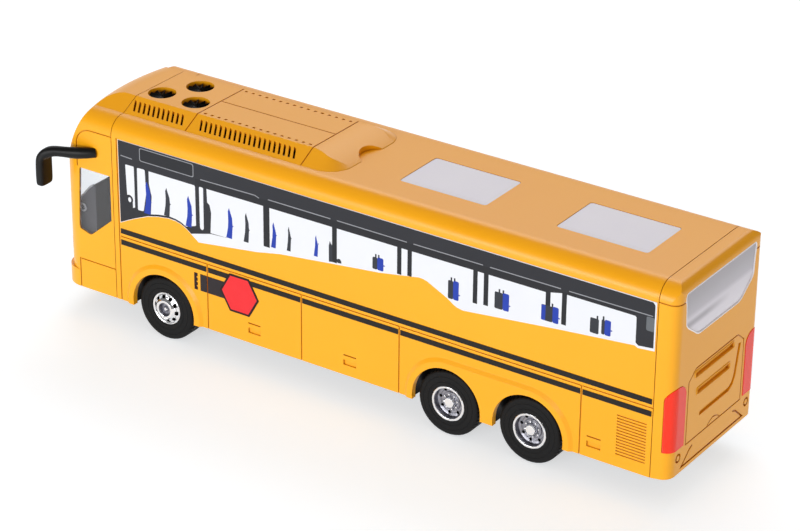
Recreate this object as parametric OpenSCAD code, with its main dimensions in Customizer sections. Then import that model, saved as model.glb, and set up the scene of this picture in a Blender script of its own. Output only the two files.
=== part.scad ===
// Toy coach with a moulded shell, roof pod, printed side stickers and a
// flywheel friction drive on the middle axle. Lengths are millimetres.
// X points to the nose, Y to the left side and Z up; the ground is Z = 0.

/* [Body] */
// Length of the body from nose to tail
body_length = 337.8; // [300:0.1:380]
// Width of the body across its flat sides
body_width = 75; // [66:0.5:90]
// Height of the flat roof above the sill
body_height = 93; // [84:0.5:110]
// Height of the sill above the ground
sill_clearance = 13.5; // [12:0.1:15]
// Wall thickness of the shell mouldings
wall = 1.8; // [1.4:0.1:2.4]
// Radius between side and roof
shoulder_radius = 8.5; // [6:0.1:11]
// Gap that shows as a seam between two mouldings
seam_gap = 0.3; // [0.2:0.05:0.6]
// Width of a moulded panel line
groove_width = 0.6; // [0.4:0.1:1]
// Depth of a moulded panel line
groove_depth = 0.45; // [0.3:0.05:0.8]
// Length of the lip that holds a cap in the shell
spigot_length = 4; // [3:0.5:6]
// Thickness of that lip
spigot_wall = 1.2; // [0.8:0.1:1.6]
// Play between lip and shell
spigot_play = 0.15; // [0.1:0.05:0.3]

/* [Cab] */
// Length of the front cap
cab_length = 34.8; // [33:0.1:40]
// Radius of the nose seen from above
nose_radius = 127; // [115:1:180]
// Radius of the front corners seen from above
cab_corner_radius = 10.6; // [8:0.1:14]
// Length of the falling forehead from the nose
forehead_length = 28; // [24:0.5:31]
// Height of the falling forehead
forehead_height = 48.6; // [42:0.2:54]
// Radius of the forehead at the roof
forehead_radius = 20; // [15:0.5:22]
// How far the bumper stands out
bumper_proud = 1.8; // [1:0.1:1.9]
// Height of the bumper
bumper_height = 9; // [7:0.5:12]
// Corner radius of the cab door line
door_round = 9; // [6:0.1:12]
// Width of the windscreen
windscreen_width = 63; // [56:0.5:66]
// Windscreen lower edge above the sill
windscreen_low = 35; // [32:0.5:40]
// Height of the windscreen
windscreen_height = 42; // [36:0.5:46]
// Corner radius of the windscreen
windscreen_corner = 6; // [4:0.5:8]
// Length of the cab side window
cab_window_length = 20; // [17:0.1:22]
// Lower edge of the cab side window above the sill
cab_window_low = 29.6; // [27:0.1:32]
// Height of the cab side window
cab_window_height = 34; // [30:0.1:37]
// Distance of the cab side window from the cap seam
cab_window_margin = 1.4; // [1:0.1:2.5]
// Thickness of the clear panes
pane_thickness = 1.1; // [0.8:0.1:1.3]
// How deep a pane lies below the surface round it
pane_recess = 0.4; // [0.2:0.05:0.6]
// Width of the inner rim that holds a pane
pane_rim = 1.2; // [0.8:0.1:1.6]
// Thickness of the inner rim
pane_rim_thickness = 0.8; // [0.6:0.1:1]
// Gap round each pane and lamp
pane_gap = 0.12; // [0.08:0.01:0.3]
// Height of the headlamps
headlamp_height = 9; // [7:0.5:11]
// Width of the headlamps
headlamp_width = 12; // [10:0.5:14]
// Headlamp lower edge above the sill
headlamp_low = 15; // [13:0.5:18]
// Depth of the dashboard from the nose
dash_depth = 21; // [16:0.5:26]
// Height of the dashboard above the windscreen edge at the nose
dash_lift = 5; // [3:0.5:8]
// Rise of the dashboard from the nose to its rear end
dash_rise = 15; // [10:0.5:18]
// Wall thickness of the dashboard
dash_wall = 1.4; // [1.1:0.1:2]

/* [Tail] */
// Length of the rear cap
tail_length = 9.6; // [9:0.1:14]
// Radius of the rear corners seen from above
tail_corner_radius = 4.6; // [3.8:0.1:7]
// Radius between roof and rear face
tail_top_radius = 4.4; // [3.8:0.1:4.6]
// How far the lower edge rises towards the tail
tail_lift = 1.4; // [0.5:0.1:2]
// Half width of the rear window
rear_window_half = 31; // [28:0.5:31.5]
// Upper edge of the rear window below the roof
rear_window_drop = 4.8; // [4.6:0.1:8]
// Height of the rear window
rear_window_height = 23.6; // [20:0.2:24]
// Lower edge of the tail lamps above the sill
tail_lamp_low = 14; // [12:0.5:18]
// Height of the tail lamps
tail_lamp_height = 31; // [26:0.5:36]
// Width of the tail lamps seen along the corner
tail_lamp_width = 12; // [10:0.5:13]
// Distance of the lamp axis from the tail and from the side
tail_lamp_set = 8.5; // [7.5:0.1:9.5]
// How far the lamps stand out
lamp_proud = 0.25; // [0.1:0.05:0.5]
// Half width of the engine door
engine_door_half = 24.5; // [23:0.1:26]
// Lower edge of the engine door above the sill
engine_door_low = 13.3; // [12:0.1:15]
// Height of the engine door
engine_door_height = 34.7; // [31:0.1:36]
// Width of the channels in the engine door
channel_width = 2.2; // [1.6:0.1:2.6]
// Depth of the channels in the engine door
channel_depth = 1; // [0.7:0.1:1.1]
// Width of the grip over the lower edge of the engine door
grip_width = 12; // [9:0.5:16]
// Height of that grip
grip_height = 3; // [2:0.1:4]
// Height of the rear bumper line above the sill
rear_bumper_line = 10.3; // [9:0.1:11]
// Width of the bumper line and of the rings beside it
bumper_line_width = 0.9; // [0.7:0.1:1.1]
// Diameter of the rings beside the bumper line
rear_ring_diameter = 4.4; // [3.6:0.1:5]
// Height of the line across the rear corners above the sill
rear_corner_line = 84.4; // [82:0.1:86]

/* [Roof] */
// Height of the pod above the roof
pod_height = 5.4; // [4:0.1:8]
// Half width of the pod on the roof
pod_base_half = 27.7; // [26:0.1:29]
// Half width of the flat top of the pod
pod_top_half = 17.8; // [16.8:0.1:19.5]
// Length of the pod on the roof
pod_length = 122.5; // [110:0.5:135]
// Wall thickness of the pod
pod_wall = 1.5; // [1.2:0.1:1.8]
// Corner radius of the pod seen from above
pod_corner = 12; // [11:0.1:14]
// Length of the falling rear end of the pod
pod_slope_length = 20.2; // [16:0.1:26]
// Distance of the cross line behind the cap seam
pod_line = 36.5; // [34:0.1:39]
// Number of side slots in front of the cross line
front_slots = 11; // [6:1:11]
// Number of side slots behind the cross line
rear_slots = 20; // [10:1:20]
// Distance between two slots
slot_pitch = 2.8; // [2.6:0.05:2.9]
// Width of a slot
slot_width = 1.15; // [0.9:0.05:1.4]
// Length of a slot seen from above
slot_length = 5.4; // [4.5:0.1:6.2]
// How far the lower end of a slot lies behind its upper end
slot_slant = 2.9; // [0:0.1:3.5]
// First slot behind the cap seam
front_slot_start = 3.2; // [2.8:0.1:4.5]
// First rear slot behind the cross line
rear_slot_start = 5.7; // [5:0.1:8]
// Number of pits in a row on the pod
pod_pits = 16; // [8:1:16]
// Distance between two pits
pit_pitch = 4; // [3:0.1:4.1]
// Length of a pit
pit_length = 1.5; // [1:0.1:2]
// First pit behind the cross line
pit_start = 2.9; // [2.4:0.1:4]
// Sideways distance of the pits from the edge of the pod top
pit_margin = 2; // [1.6:0.1:3]
// Diameter of the fan holes
fan_diameter = 13.4; // [10:0.1:14]
// Distance between two fan holes along the bus
fan_pitch = 9.95; // [9.5:0.05:10.5]
// First fan hole behind the cap seam
fan_start = 7.9; // [7.6:0.1:9]
// Sideways distance of the fan holes
fan_offset = 8.2; // [7.6:0.1:9]
// Wall of the collar under a fan hole
fan_collar = 0.9; // [0.7:0.1:1.1]
// Thickness of the dark plate under the pod
liner_thickness = 0.9; // [0.7:0.1:1.2]
// Play round the dark plate
liner_play = 0.3; // [0.2:0.05:0.5]
// Number of blades in a fan
fan_blades = 18; // [10:1:24]
// Height of the fan blades
fan_blade_height = 1.3; // [0.8:0.1:1.5]
// Width of the notch in the rear end of the pod
pod_notch_width = 17; // [12:0.5:22]
// Depth of the notch in the rear end of the pod
pod_notch_depth = 5.5; // [4:0.1:7]
// Width of the roof ledge that carries the pod
pod_ledge = 1.6; // [1.2:0.1:1.8]
// Length of a roof light
skylight_length = 45.8; // [40:0.2:50]
// Width of a roof light
skylight_width = 30; // [26:0.2:34]
// Corner radius of a roof light
skylight_corner = 1.6; // [1:0.1:3]

/* [Sides] */
// Width of a stripe
stripe_width = 2.6; // [2:0.1:3]
// Lower stripe above the sill
stripe_low = 29.8; // [29:0.1:31]
// Clear height between the stripes
stripe_gap = 3.3; // [2.8:0.1:4]
// Thickness of the stickers
sticker_thickness = 0.2; // [0.15:0.05:0.3]
// Lowest edge of the window sticker above the sill
band_low = 41.3; // [40.5:0.1:44]
// Window sticker below the shoulder
band_top_gap = 0.2; // [0.1:0.1:3]
// Window sticker behind the cap seam
band_front_gap = 4.2; // [3:0.1:6]
// Window sticker in front of the rear seam
band_rear_gap = 0.6; // [0.5:0.1:2]
// Distance of the outer panel lines from the axles
panel_margin = 26; // [24.5:0.1:28]
// Length of a latch
latch_length = 7; // [4:0.5:8]
// Height of a latch
latch_height = 5.4; // [4.5:0.2:7]
// Lower edge of a latch above the sill
latch_low = 5.2; // [4:0.2:7]
// Depth of a latch pocket
latch_depth = 0.7; // [0.5:0.05:0.9]
// Gap between rear seam and louvre
louvre_margin = 2.6; // [2:0.1:5]
// Length of the rear louvre
louvre_length = 14.5; // [11:0.5:16]
// Height of the rear louvre
louvre_height = 20.5; // [16:0.5:23]
// Lower edge of the rear louvre above the sill
louvre_low = 6; // [5:0.5:8]
// Number of louvre lines
louvre_lines = 14; // [8:1:15]
// Circumradius of the sign
sign_radius = 10.8; // [9:0.1:11.2]
// Distance of the sign behind the front axle
sign_station = 44.6; // [43:0.1:47]
// Height of the sign centre above the sill
sign_height = 23.3; // [22:0.1:24.5]
// Length of the sign arm
sign_arm_length = 13; // [10:0.1:14]
// Width of the sign arm
sign_arm_width = 8.6; // [6:0.1:10]
// Width of the sign hinge
sign_hinge_width = 1.7; // [1:0.1:2.4]
// Gap between arm and hinge
sign_hinge_gap = 1.6; // [1:0.1:2.5]

/* [Mirrors] */
// How far the mirrors reach past the nose
mirror_reach = 1.8; // [1:0.1:5]
// Mirror foot behind the nose
mirror_foot = 20.8; // [19.5:0.1:22]
// Height of the mirror foot above the sill
mirror_height = 73; // [68:0.2:76]
// Fall of the mirror arm from its foot to the head
mirror_fall = 5.5; // [4:0.1:7]
// Sideways reach of the mirror arm
mirror_spread = 7.5; // [6.5:0.1:9]
// Diameter of the mirror arm
mirror_arm = 4.8; // [4:0.1:5.2]
// Height of the mirror head
mirror_head_height = 14.4; // [12:0.2:18]
// Width of the mirror head
mirror_head_width = 9; // [7:0.2:10]
// Thickness of the mirror head
mirror_head_thickness = 4.4; // [4:0.1:5]
// Diameter of the mirror peg
mirror_peg = 2.8; // [2:0.1:3.2]
// Play round the mirror peg
mirror_peg_play = 0.1; // [0.05:0.05:0.2]

/* [Wheels] */
// Diameter of the tyres
tyre_diameter = 32; // [30:0.2:33]
// Width of the tyres
tyre_width = 11; // [9.5:0.1:12]
// Rounding of the tyre shoulders
tyre_round = 1.6; // [1:0.1:2.2]
// Diameter of the wheel seat
seat_diameter = 16.4; // [15:0.1:17.5]
// Diameter of the wheel lip
lip_diameter = 17.8; // [17.6:0.1:19]
// Thickness of the wheel lip
lip_thickness = 0.9; // [0.7:0.1:1.2]
// Depth of the tread grooves
tread_depth = 0.7; // [0.4:0.1:1]
// Width of the tread grooves
tread_width = 0.8; // [0.5:0.1:1]
// How far the wheels lie inside the body side
wheel_inset = 0.8; // [0.5:0.1:2]
// Play between wheel and tyre
seat_play = 0.03; // [0.02:0.01:0.06]
// Diameter of the axles
axle_diameter = 2.6; // [2:0.1:3]
// Play between axle and wheel
axle_fit = 0.02; // [0.01:0.01:0.04]
// Play between axle and bearing
bearing_play = 0.08; // [0.05:0.01:0.1]
// Front axle behind the nose
front_overhang = 64.2; // [60:0.2:70]
// Distance from front to middle axle
wheelbase = 160; // [150:0.5:170]
// Distance from middle to rear axle
bogie_spacing = 42.8; // [42:0.1:46]
// Gap between tyre and wheel arch
arch_gap = 2.2; // [1.5:0.1:3]
// Width of the arch flare
flare_width = 4.6; // [3:0.1:5.5]
// How far the arch flare stands out
flare_proud = 1.1; // [0.6:0.1:1.6]
// Number of holes in a front wheel
front_wheel_holes = 10; // [6:1:12]
// Number of holes in a rear wheel
rear_wheel_holes = 8; // [5:1:10]
// Diameter of the wheel holes
wheel_hole = 2; // [1.4:0.1:2.2]

/* [Chassis] */
// Thickness of the floor plate
floor_thickness = 2; // [1.6:0.1:2.6]
// Floor plate above the sill
floor_recess = 0.8; // [0.5:0.1:1.2]
// Play round the floor plate
floor_play = 0.3; // [0.2:0.05:0.5]
// Thickness of the wheel arch liners
liner_wall = 1.3; // [1:0.1:1.8]
// Thickness of the bearing walls
bearing_wall = 3; // [2.4:0.1:4]
// Bearing wall below the axle centre
bearing_drop = 4; // [3.4:0.1:5]
// Sideways gap between tyre and bearing wall
hub_gap = 0.8; // [0.5:0.1:1.5]
// Diameter of the screw posts
post_diameter = 6; // [5:0.1:7]
// Gap between screw post and side wall
post_gap = 1.6; // [1:0.1:2]
// Diameter of the screws
screw_diameter = 2.2; // [1.8:0.1:2.6]
// Diameter of the screw heads
screw_head = 4.4; // [3.8:0.1:5]
// Height of the screw heads
screw_head_height = 1.5; // [1.2:0.1:2]
// Length of the screws
screw_length = 9; // [7:0.5:12]
// Play round the screws
screw_play = 0.1; // [0.05:0.05:0.2]
// Length of the flat pad under the floor
pad_length = 46; // [36:1:54]
// Width of the flat pad under the floor
pad_width = 34; // [26:1:40]
// Height of the flat pad
pad_height = 1; // [0.6:0.1:1.6]

/* [Drive] */
// Module of the gears
gear_module = 0.6; // [0.56:0.01:0.62]
// Teeth of the large gears
large_teeth = 24; // [22:1:25]
// Teeth of the pinions
pinion_teeth = 10; // [10:1:11]
// Width of the axle gear
axle_gear_width = 3.4; // [2.8:0.1:3.8]
// Width of the large idler gear
idler_width = 2.2; // [1.8:0.1:2.6]
// Gap between turning parts
drive_gap = 0.5; // [0.35:0.05:0.6]
// Tooth play
tooth_play = 0.08; // [0.06:0.01:0.12]
// Diameter of the flywheel
flywheel_diameter = 17; // [14:0.2:17.4]
// Width of the flywheel
flywheel_width = 5; // [4:0.1:6]
// Diameter of the drive pins
pin_diameter = 1.5; // [1.3:0.05:1.7]
// Wall thickness of the drive case
case_wall = 1.2; // [1:0.1:1.6]
// Play between gears and case
case_play = 0.9; // [0.7:0.1:1.4]
// Length of a case lug
lug_length = 6.5; // [6:0.1:8]
// Height of a case lug
lug_height = 5; // [4:0.1:6]

/* [Hidden] */
$fn = 72;
// One overrun for every cut
overrun = 1;

// Colours
yellow = [0.96, 0.66, 0.10];
dark = [0.09, 0.09, 0.10];
clear = [0.80, 0.86, 0.90, 0.5];
milky = [0.86, 0.85, 0.90];
red = [0.75, 0.05, 0.04];
chrome = [0.78, 0.79, 0.80];
steel = [0.62, 0.63, 0.65];
sticker_grey = [0.24, 0.25, 0.27];
white = [0.92, 0.92, 0.90];

// Stations along the bus
overall_length = body_length + max(mirror_reach, bumper_proud) + lamp_proud;
tail_x = lamp_proud - overall_length / 2;
nose_x = tail_x + body_length;
front_seam_x = nose_x - cab_length;
rear_seam_x = tail_x + tail_length;
front_axle_x = nose_x - front_overhang;
middle_axle_x = front_axle_x - wheelbase;
rear_axle_x = middle_axle_x - bogie_spacing;
axle_stations = [front_axle_x, middle_axle_x, rear_axle_x];

// Heights
axle_z = tyre_diameter / 2;
sill_z = sill_clearance;
roof_z = sill_z + body_height;
pod_z = roof_z + pod_height;
floor_low = sill_z + floor_recess;
floor_top = floor_low + floor_thickness;
half_width = body_width / 2;
arch_radius = tyre_diameter / 2 + arch_gap;
flare_top_share = 0.62;

// Nose outline seen from above
nose_axis_x = nose_x - nose_radius;
corner_y = half_width - cab_corner_radius;
corner_x = nose_axis_x + sqrt(pow(nose_radius - cab_corner_radius, 2) - pow(corner_y, 2));
corner_angle = atan2(corner_y, corner_x - nose_axis_x);

// Nose outline seen from the side, an upper arc that runs into a long lower one
forehead_z = pod_z - forehead_height;
screen_radius = (pow(forehead_length, 2) + pow(forehead_height - forehead_radius, 2)
  - pow(forehead_radius, 2)) / (2 * (forehead_length - forehead_radius));
screen_angle = atan2(forehead_height - forehead_radius, screen_radius - forehead_length);

// Pod
pod_rear_x = front_seam_x - pod_length;
pod_run = pod_base_half - pod_top_half;
pod_slant = sqrt(pow(pod_run, 2) + pow(pod_height, 2)) / pod_height;
pod_slope_radius = (pow(pod_slope_length, 2) + pow(pod_height, 2)) / (2 * pod_height);
grip_radius = (pow(grip_width / 2, 2) + pow(grip_height, 2)) / (2 * grip_height);
notch_radius = (pow(pod_notch_width / 2, 2) + pow(pod_notch_depth, 2)) / (2 * pod_notch_depth);
pod_opening_half = pod_base_half - pod_ledge;
pod_opening_front = front_seam_x - spigot_length - pane_rim - liner_play;
pod_opening_rear = pod_rear_x + pod_slope_length;
slot_mid = (pod_base_half + pod_top_half) / 2;
fan_places = [[fan_start, fan_offset], [fan_start + fan_pitch, -fan_offset],
  [fan_start + 2 * fan_pitch, fan_offset]];
fan_radius = fan_diameter / 2;
blade_share = 0.58;
pit_y = pod_top_half - pit_margin;
roof_free = pod_rear_x - rear_seam_x - 2 * skylight_length;
skylight_front_share = 0.314;
skylight_rear_share = 0.2333;
skylight_front_x = pod_rear_x - skylight_front_share * roof_free - skylight_length / 2;
skylight_rear_x = rear_seam_x + skylight_rear_share * roof_free + skylight_length / 2;
rear_window_z = roof_z - rear_window_drop - rear_window_height;

// Outlines, given as shares of the sizes they follow
cab_window_shares = [[0, 1], [0, 0.32], [0.62, 0.01], [0.68, 0], [0.97, 0.05], [1, 0.10],
  [0.97, 0.5], [0.93, 0.97], [0.90, 1]];
rear_window_shares = [[0.56, 0], [0.63, 0.03], [0.90, 0.28], [0.955, 0.36], [0.975, 0.75],
  [1, 0.94], [0.97, 1]];
band_shares = [[0, 0], [0.028, 0.094], [0.058, 0.178], [0.080, 0.215], [0.102, 0.236],
  [0.1157, 0.231], [0.127, 0.213], [0.137, 0.18], [0.1617, 0.062], [0.278, 0.169],
  [0.323, 0.231], [0.42, 0.309], [0.514, 0.382], [0.578, 0.458], [0.587, 0.469],
  [0.595, 0.466], [0.603, 0.452], [0.639, 0.335], [0.650, 0.286], [0.657, 0.262],
  [0.668, 0.249], [0.838, 0.378],
  [0.9665, 0.4645], [0.972, 0.446], [1, 0.4645], [1, 1], [0, 1]];
engine_door_shares = [[1, 0], [1, 0.87], [0.76, 1]];
engine_slot_shares = [[[0.75, 0.91], [-0.60, 0.91]], [[0.66, 0.65], [-0.48, 0.65]]];
engine_trough_shares = [[0.54, 0.30], [-0.52, 0.30], [-0.64, 0.345], [-0.72, 0.44], [-0.85, 0.86]];
bumper_line_shares = [[0.74, 1], [0.84, 0.91], [0.94, 0.70], [1.12, 0.35]];
mirror_path_shares = [[0, 0, 0], [0.30, 0.42, -0.04], [0.66, 0.84, 0.10], [0.97, 1, 1]];
mirror_taper_shares = [1, 0.95, 0.9, 0.85];

// Directions in which the lamps are set, in degrees
tail_lamp_turn = 155;
headlamp_turn = 0;

// Sides
band_front_x = front_seam_x - band_front_gap;
band_height = body_height - shoulder_radius - band_low - band_top_gap;
band_length = band_front_x - rear_seam_x - band_rear_gap;
panel_first_x = front_axle_x - panel_margin;
panel_third_x = middle_axle_x + panel_margin;
panel_second_x = (panel_first_x + panel_third_x) / 2;
panel_last_x = rear_axle_x - panel_margin;
panel_stations = [panel_first_x, panel_second_x, panel_third_x, panel_last_x];
crease_z = sill_z + stripe_low + stripe_width + stripe_gap / 2;
louvre_x = rear_seam_x + louvre_margin + louvre_length / 2;
latch_stations = [(panel_first_x + panel_second_x) / 2, (panel_second_x + panel_third_x) / 2,
  panel_last_x - latch_length];
sign_x = front_axle_x - sign_station;
sign_z = sill_z + sign_height;

// Mirrors
mirror_foot_x = nose_x - mirror_foot;
mirror_foot_z = sill_z + mirror_height;
mirror_head_x = nose_x + mirror_reach - mirror_head_thickness / 2;

// Wheels
wheel_face_y = half_width - wheel_inset;
wheel_inner_y = wheel_face_y - tyre_width;
seat_radius = seat_diameter / 2;
lip_radius = lip_diameter / 2;
axle_radius = axle_diameter / 2;
hub_bore_depth = tyre_width / 2;
axle_half = wheel_inner_y + hub_bore_depth - bearing_play;

// Chassis
bearing_outer_y = wheel_inner_y - hub_gap;
bearing_inner_y = bearing_outer_y - bearing_wall;
liner_radius = arch_radius + liner_wall;
liner_outer_y = half_width - wall - floor_play;
post_offset = half_width - wall - post_gap - post_diameter / 2;
front_post_x = front_axle_x - liner_radius - post_diameter;
rear_post_x = rear_axle_x - liner_radius - post_diameter;
post_places = [[front_post_x, post_offset], [front_post_x, -post_offset],
  [rear_post_x, post_offset], [rear_post_x, -post_offset]];
pad_x = (front_post_x - post_diameter + middle_axle_x + liner_radius) / 2 + pad_length / 8;

// Drive
mesh_distance = (large_teeth + pinion_teeth) * gear_module / 2 + tooth_play / 2;
pressure_angle = 25;
addendum_share = 0.8;
dedendum_share = 1.05;
large_radius = large_teeth * gear_module / 2;
large_tip = large_radius + addendum_share * gear_module;
mesh_angle = 45;
idler_x = middle_axle_x + mesh_distance * cos(mesh_angle);
idler_z = axle_z + mesh_distance * sin(mesh_angle);
flywheel_x = idler_x + mesh_distance;
flywheel_z = idler_z;
flywheel_radius = flywheel_diameter / 2;
pin_radius = pin_diameter / 2;
drive_inner = axle_gear_width + idler_width + flywheel_width + 4 * drive_gap;
drive_left_y = drive_inner / 2 + case_wall;
plane_one = -drive_inner / 2 + drive_gap;
plane_two = plane_one + axle_gear_width + drive_gap;
plane_three = plane_two + idler_width + drive_gap;
case_back_x = middle_axle_x - large_tip - case_play;
case_step_x = idler_x + large_tip / 2;
case_front_x = flywheel_x + flywheel_radius + case_play;
case_low_z = axle_z - large_tip - case_play;
case_step_z = flywheel_z - flywheel_radius - case_play;
case_top_z = idler_z + max(large_tip, flywheel_radius) + case_play;
lug_places = [case_back_x - case_wall - lug_length / 2, case_front_x + case_wall + lug_length / 2];

// Placing helpers
module along_x(x0, x1) {
  translate([x0, 0, 0])
    rotate([90, 0, 90])
      linear_extrude(height = x1 - x0)
        children();
}

module along_y(y0, y1) {
  translate([0, y1, 0])
    rotate([90, 0, 0])
      linear_extrude(height = y1 - y0)
        children();
}

module both_sides() {
  children();
  mirror([0, 1, 0])
    children();
}

// A round bar along Y from y0 to y1 at the place x, z
module bar_y(x, z, radius, y0, y1) {
  translate([x, y0, z])
    rotate([-90, 0, 0])
      cylinder(r = radius, h = y1 - y0);
}

module box(x0, x1, y0, y1, z0, z1) {
  translate([x0, y0, z0])
    cube([x1 - x0, y1 - y0, z1 - z0]);
}

module round_rect(width, height, radius) {
  square([width - 2 * radius, height], center = true);
  square([width, height - 2 * radius], center = true);
  for (sx = [-1, 1])
    for (sy = [-1, 1])
      translate([sx * (width / 2 - radius), sy * (height / 2 - radius)])
        circle(radius);
}

// Body outline across the bus, moved inwards by inset
module shell_profile(inset, bottom) {
  half = half_width - inset;
  r = shoulder_radius - inset;
  top = roof_z - inset;
  translate([-half, bottom])
    square([2 * half, top - r - bottom]);
  translate([r - half, bottom])
    square([2 * (half - r), top - bottom]);
  for (s = [-1, 1])
    translate([s * (half - r), top - r])
      circle(r);
}

// Pod outline across the bus, moved inwards by inset
module pod_profile(inset) {
  base = pod_base_half - inset * pod_slant;
  top = pod_top_half + pod_run * inset / pod_height - inset * pod_slant;
  polygon([[-base, roof_z - shoulder_radius / 2], [base, roof_z - shoulder_radius / 2],
    [base, roof_z], [top, pod_z - inset], [-top, pod_z - inset], [-base, roof_z]]);
}

// Plan of the front cap
module cab_plan(inset) {
  r = cab_corner_radius - inset;
  translate([nose_axis_x, -(half_width - inset)])
    square([corner_x - nose_axis_x, 2 * (half_width - inset)]);
  for (s = [-1, 1])
    translate([corner_x, s * corner_y])
      circle(r);
  translate([nose_axis_x, 0])
    intersection() {
      circle(nose_radius - inset, $fn = 180);
      polygon([[0, 0],
        [2 * nose_radius * cos(corner_angle), 2 * nose_radius * sin(corner_angle)],
        [2 * nose_radius * cos(corner_angle), -2 * nose_radius * sin(corner_angle)]]);
    }
}

// Half section of the nose, turned about its axis
module nose_section(inset, bottom) {
  translate([0, bottom])
    square([nose_radius - inset, forehead_z - bottom]);
  translate([0, bottom])
    square([nose_radius - forehead_length, pod_z - inset - bottom]);
  translate([nose_radius - forehead_length, pod_z - forehead_radius])
    circle(forehead_radius - inset);
  translate([nose_radius - screen_radius, forehead_z])
    intersection() {
      circle(screen_radius - inset, $fn = 180);
      polygon([[0, 0], [2 * screen_radius, 0],
        [2 * screen_radius * cos(screen_angle), 2 * screen_radius * sin(screen_angle)]]);
    }
}

module front_volume(inset, x0, bottom) {
  intersection() {
    along_x(x0, nose_x + 2 * overrun) {
      shell_profile(inset, bottom);
      pod_profile(inset);
    }
    translate([nose_axis_x, 0, 0])
      rotate_extrude($fn = 180)
        nose_section(inset, bottom);
    translate([0, 0, bottom - overrun])
      linear_extrude(height = pod_z - bottom + 2 * overrun)
        cab_plan(inset);
  }
}

module tail_plan(inset, x1) {
  r = tail_corner_radius - inset;
  cx = tail_x + tail_corner_radius;
  cy = half_width - tail_corner_radius;
  translate([cx, -(half_width - inset)])
    square([x1 - cx, 2 * (half_width - inset)]);
  translate([tail_x + inset, -cy])
    square([x1 - tail_x - inset, 2 * cy]);
  for (s = [-1, 1])
    translate([cx, s * cy])
      circle(r);
}

module tail_section(inset, x1, bottom) {
  r = tail_top_radius - inset;
  cx = tail_x + tail_top_radius;
  translate([cx, bottom])
    square([x1 - cx, roof_z - inset - bottom]);
  translate([tail_x + inset, bottom])
    square([x1 - tail_x - inset, roof_z - tail_top_radius - bottom]);
  translate([cx, roof_z - tail_top_radius])
    circle(r);
}

module rear_volume(inset, x1, bottom) {
  intersection() {
    along_x(tail_x + inset - overrun, x1)
      shell_profile(inset, bottom);
    translate([0, 0, bottom - overrun])
      linear_extrude(height = roof_z - inset - bottom + 2 * overrun)
        tail_plan(inset, x1 + overrun);
    along_y(-half_width - overrun, half_width + overrun)
      tail_section(inset, x1 + overrun, bottom);
  }
}

// The lip on a cap that reaches into the shell
module spigot(x0, x1, root0, root1) {
  difference() {
    union() {
      along_x(x0, x1)
        shell_profile(wall + spigot_play, floor_top + spigot_play);
      along_x(root0, root1)
        shell_profile(wall / 2, floor_top + spigot_play);
    }
    along_x(min(x0, root0) - overrun, max(x1, root1) + overrun)
      shell_profile(wall + spigot_play + spigot_wall, sill_z - overrun);
  }
}

// Outline of the cab side window, grown by gap to either side
module cab_window_outline(gap) {
  polygon([for (p = cab_window_shares)
    [front_seam_x + cab_window_margin + gap + p[0] * (cab_window_length - 2 * gap),
     sill_z + cab_window_low + gap + p[1] * (cab_window_height - 2 * gap)]]);
}

module windscreen_outline(gap) {
  translate([0, sill_z + windscreen_low + windscreen_height / 2])
    round_rect(windscreen_width - 2 * gap, windscreen_height - 2 * gap, windscreen_corner - gap);
}

module rear_window_outline(gap) {
  right = [for (p = rear_window_shares)
    [p[0] * (rear_window_half - gap),
     rear_window_z + gap + p[1] * (rear_window_height - 2 * gap)]];
  left = [for (i = [len(right) - 1:-1:0]) [-right[i][0], right[i][1]]];
  polygon(concat(right, left));
}

// Lamp bodies looked at along the corner
module tail_lamp_prism(gap) {
  width = tail_lamp_width - 2 * gap;
  translate([tail_x + tail_lamp_set, half_width - tail_lamp_set, 0])
    rotate([0, 0, tail_lamp_turn])
      along_x(0, 2 * tail_lamp_set) {
        translate([-width / 2, sill_z + tail_lamp_low + gap])
          square([width, tail_lamp_height - tail_lamp_width / 2 - gap]);
        translate([0, sill_z + tail_lamp_low + tail_lamp_height - tail_lamp_width / 2])
          circle(width / 2);
      }
}

module headlamp_prism(gap) {
  translate([corner_x, corner_y, 0])
    rotate([0, 0, headlamp_turn])
      along_x(0, 2 * cab_corner_radius)
        translate([0, sill_z + headlamp_low + headlamp_height / 2])
          round_rect(headlamp_width - 2 * gap, headlamp_height - 2 * gap, headlamp_height / 4);
}

module screw_holes(places, radius, z0, z1) {
  for (p = places)
    translate([p[0], p[1], z0])
      cylinder(r = radius, h = z1 - z0);
}

// Yellow mouldings
module body_shell() {
  color(yellow)
  difference() {
    union() {
      difference() {
        along_x(rear_seam_x, front_seam_x - seam_gap)
          shell_profile(0, sill_z);
        along_x(rear_seam_x - overrun, front_seam_x + overrun)
          shell_profile(wall, sill_z - overrun);
      }
      both_sides()
        for (x = axle_stations)
          arch_flare(x);
      both_sides()
        arch_bridge();
      for (p = post_places)
        intersection() {
          translate([p[0], p[1], floor_top])
            cylinder(d = post_diameter, h = body_height);
          along_x(rear_seam_x + overrun, front_seam_x - overrun)
            shell_profile(wall / 2, sill_z);
        }
    }
    for (x = axle_stations)
      bar_y(x, axle_z, arch_radius, -half_width - flare_proud - overrun,
        half_width + flare_proud + overrun);
    box(tail_x, nose_x, -half_width - 2 * overrun - flare_proud,
      half_width + 2 * overrun + flare_proud, -body_height, sill_z);
    screw_holes(post_places, screw_diameter / 2 + screw_play, floor_low,
      floor_top + screw_length);
    for (x = [skylight_front_x, skylight_rear_x])
      translate([x, 0, roof_z - wall - overrun])
        linear_extrude(height = wall + 2 * overrun)
          round_rect(skylight_length, skylight_width, skylight_corner);
    box(pod_opening_rear, pod_opening_front, -pod_opening_half, pod_opening_half,
      roof_z - wall - overrun, roof_z + overrun);
    both_sides()
      side_lines();
  }
}

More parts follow.
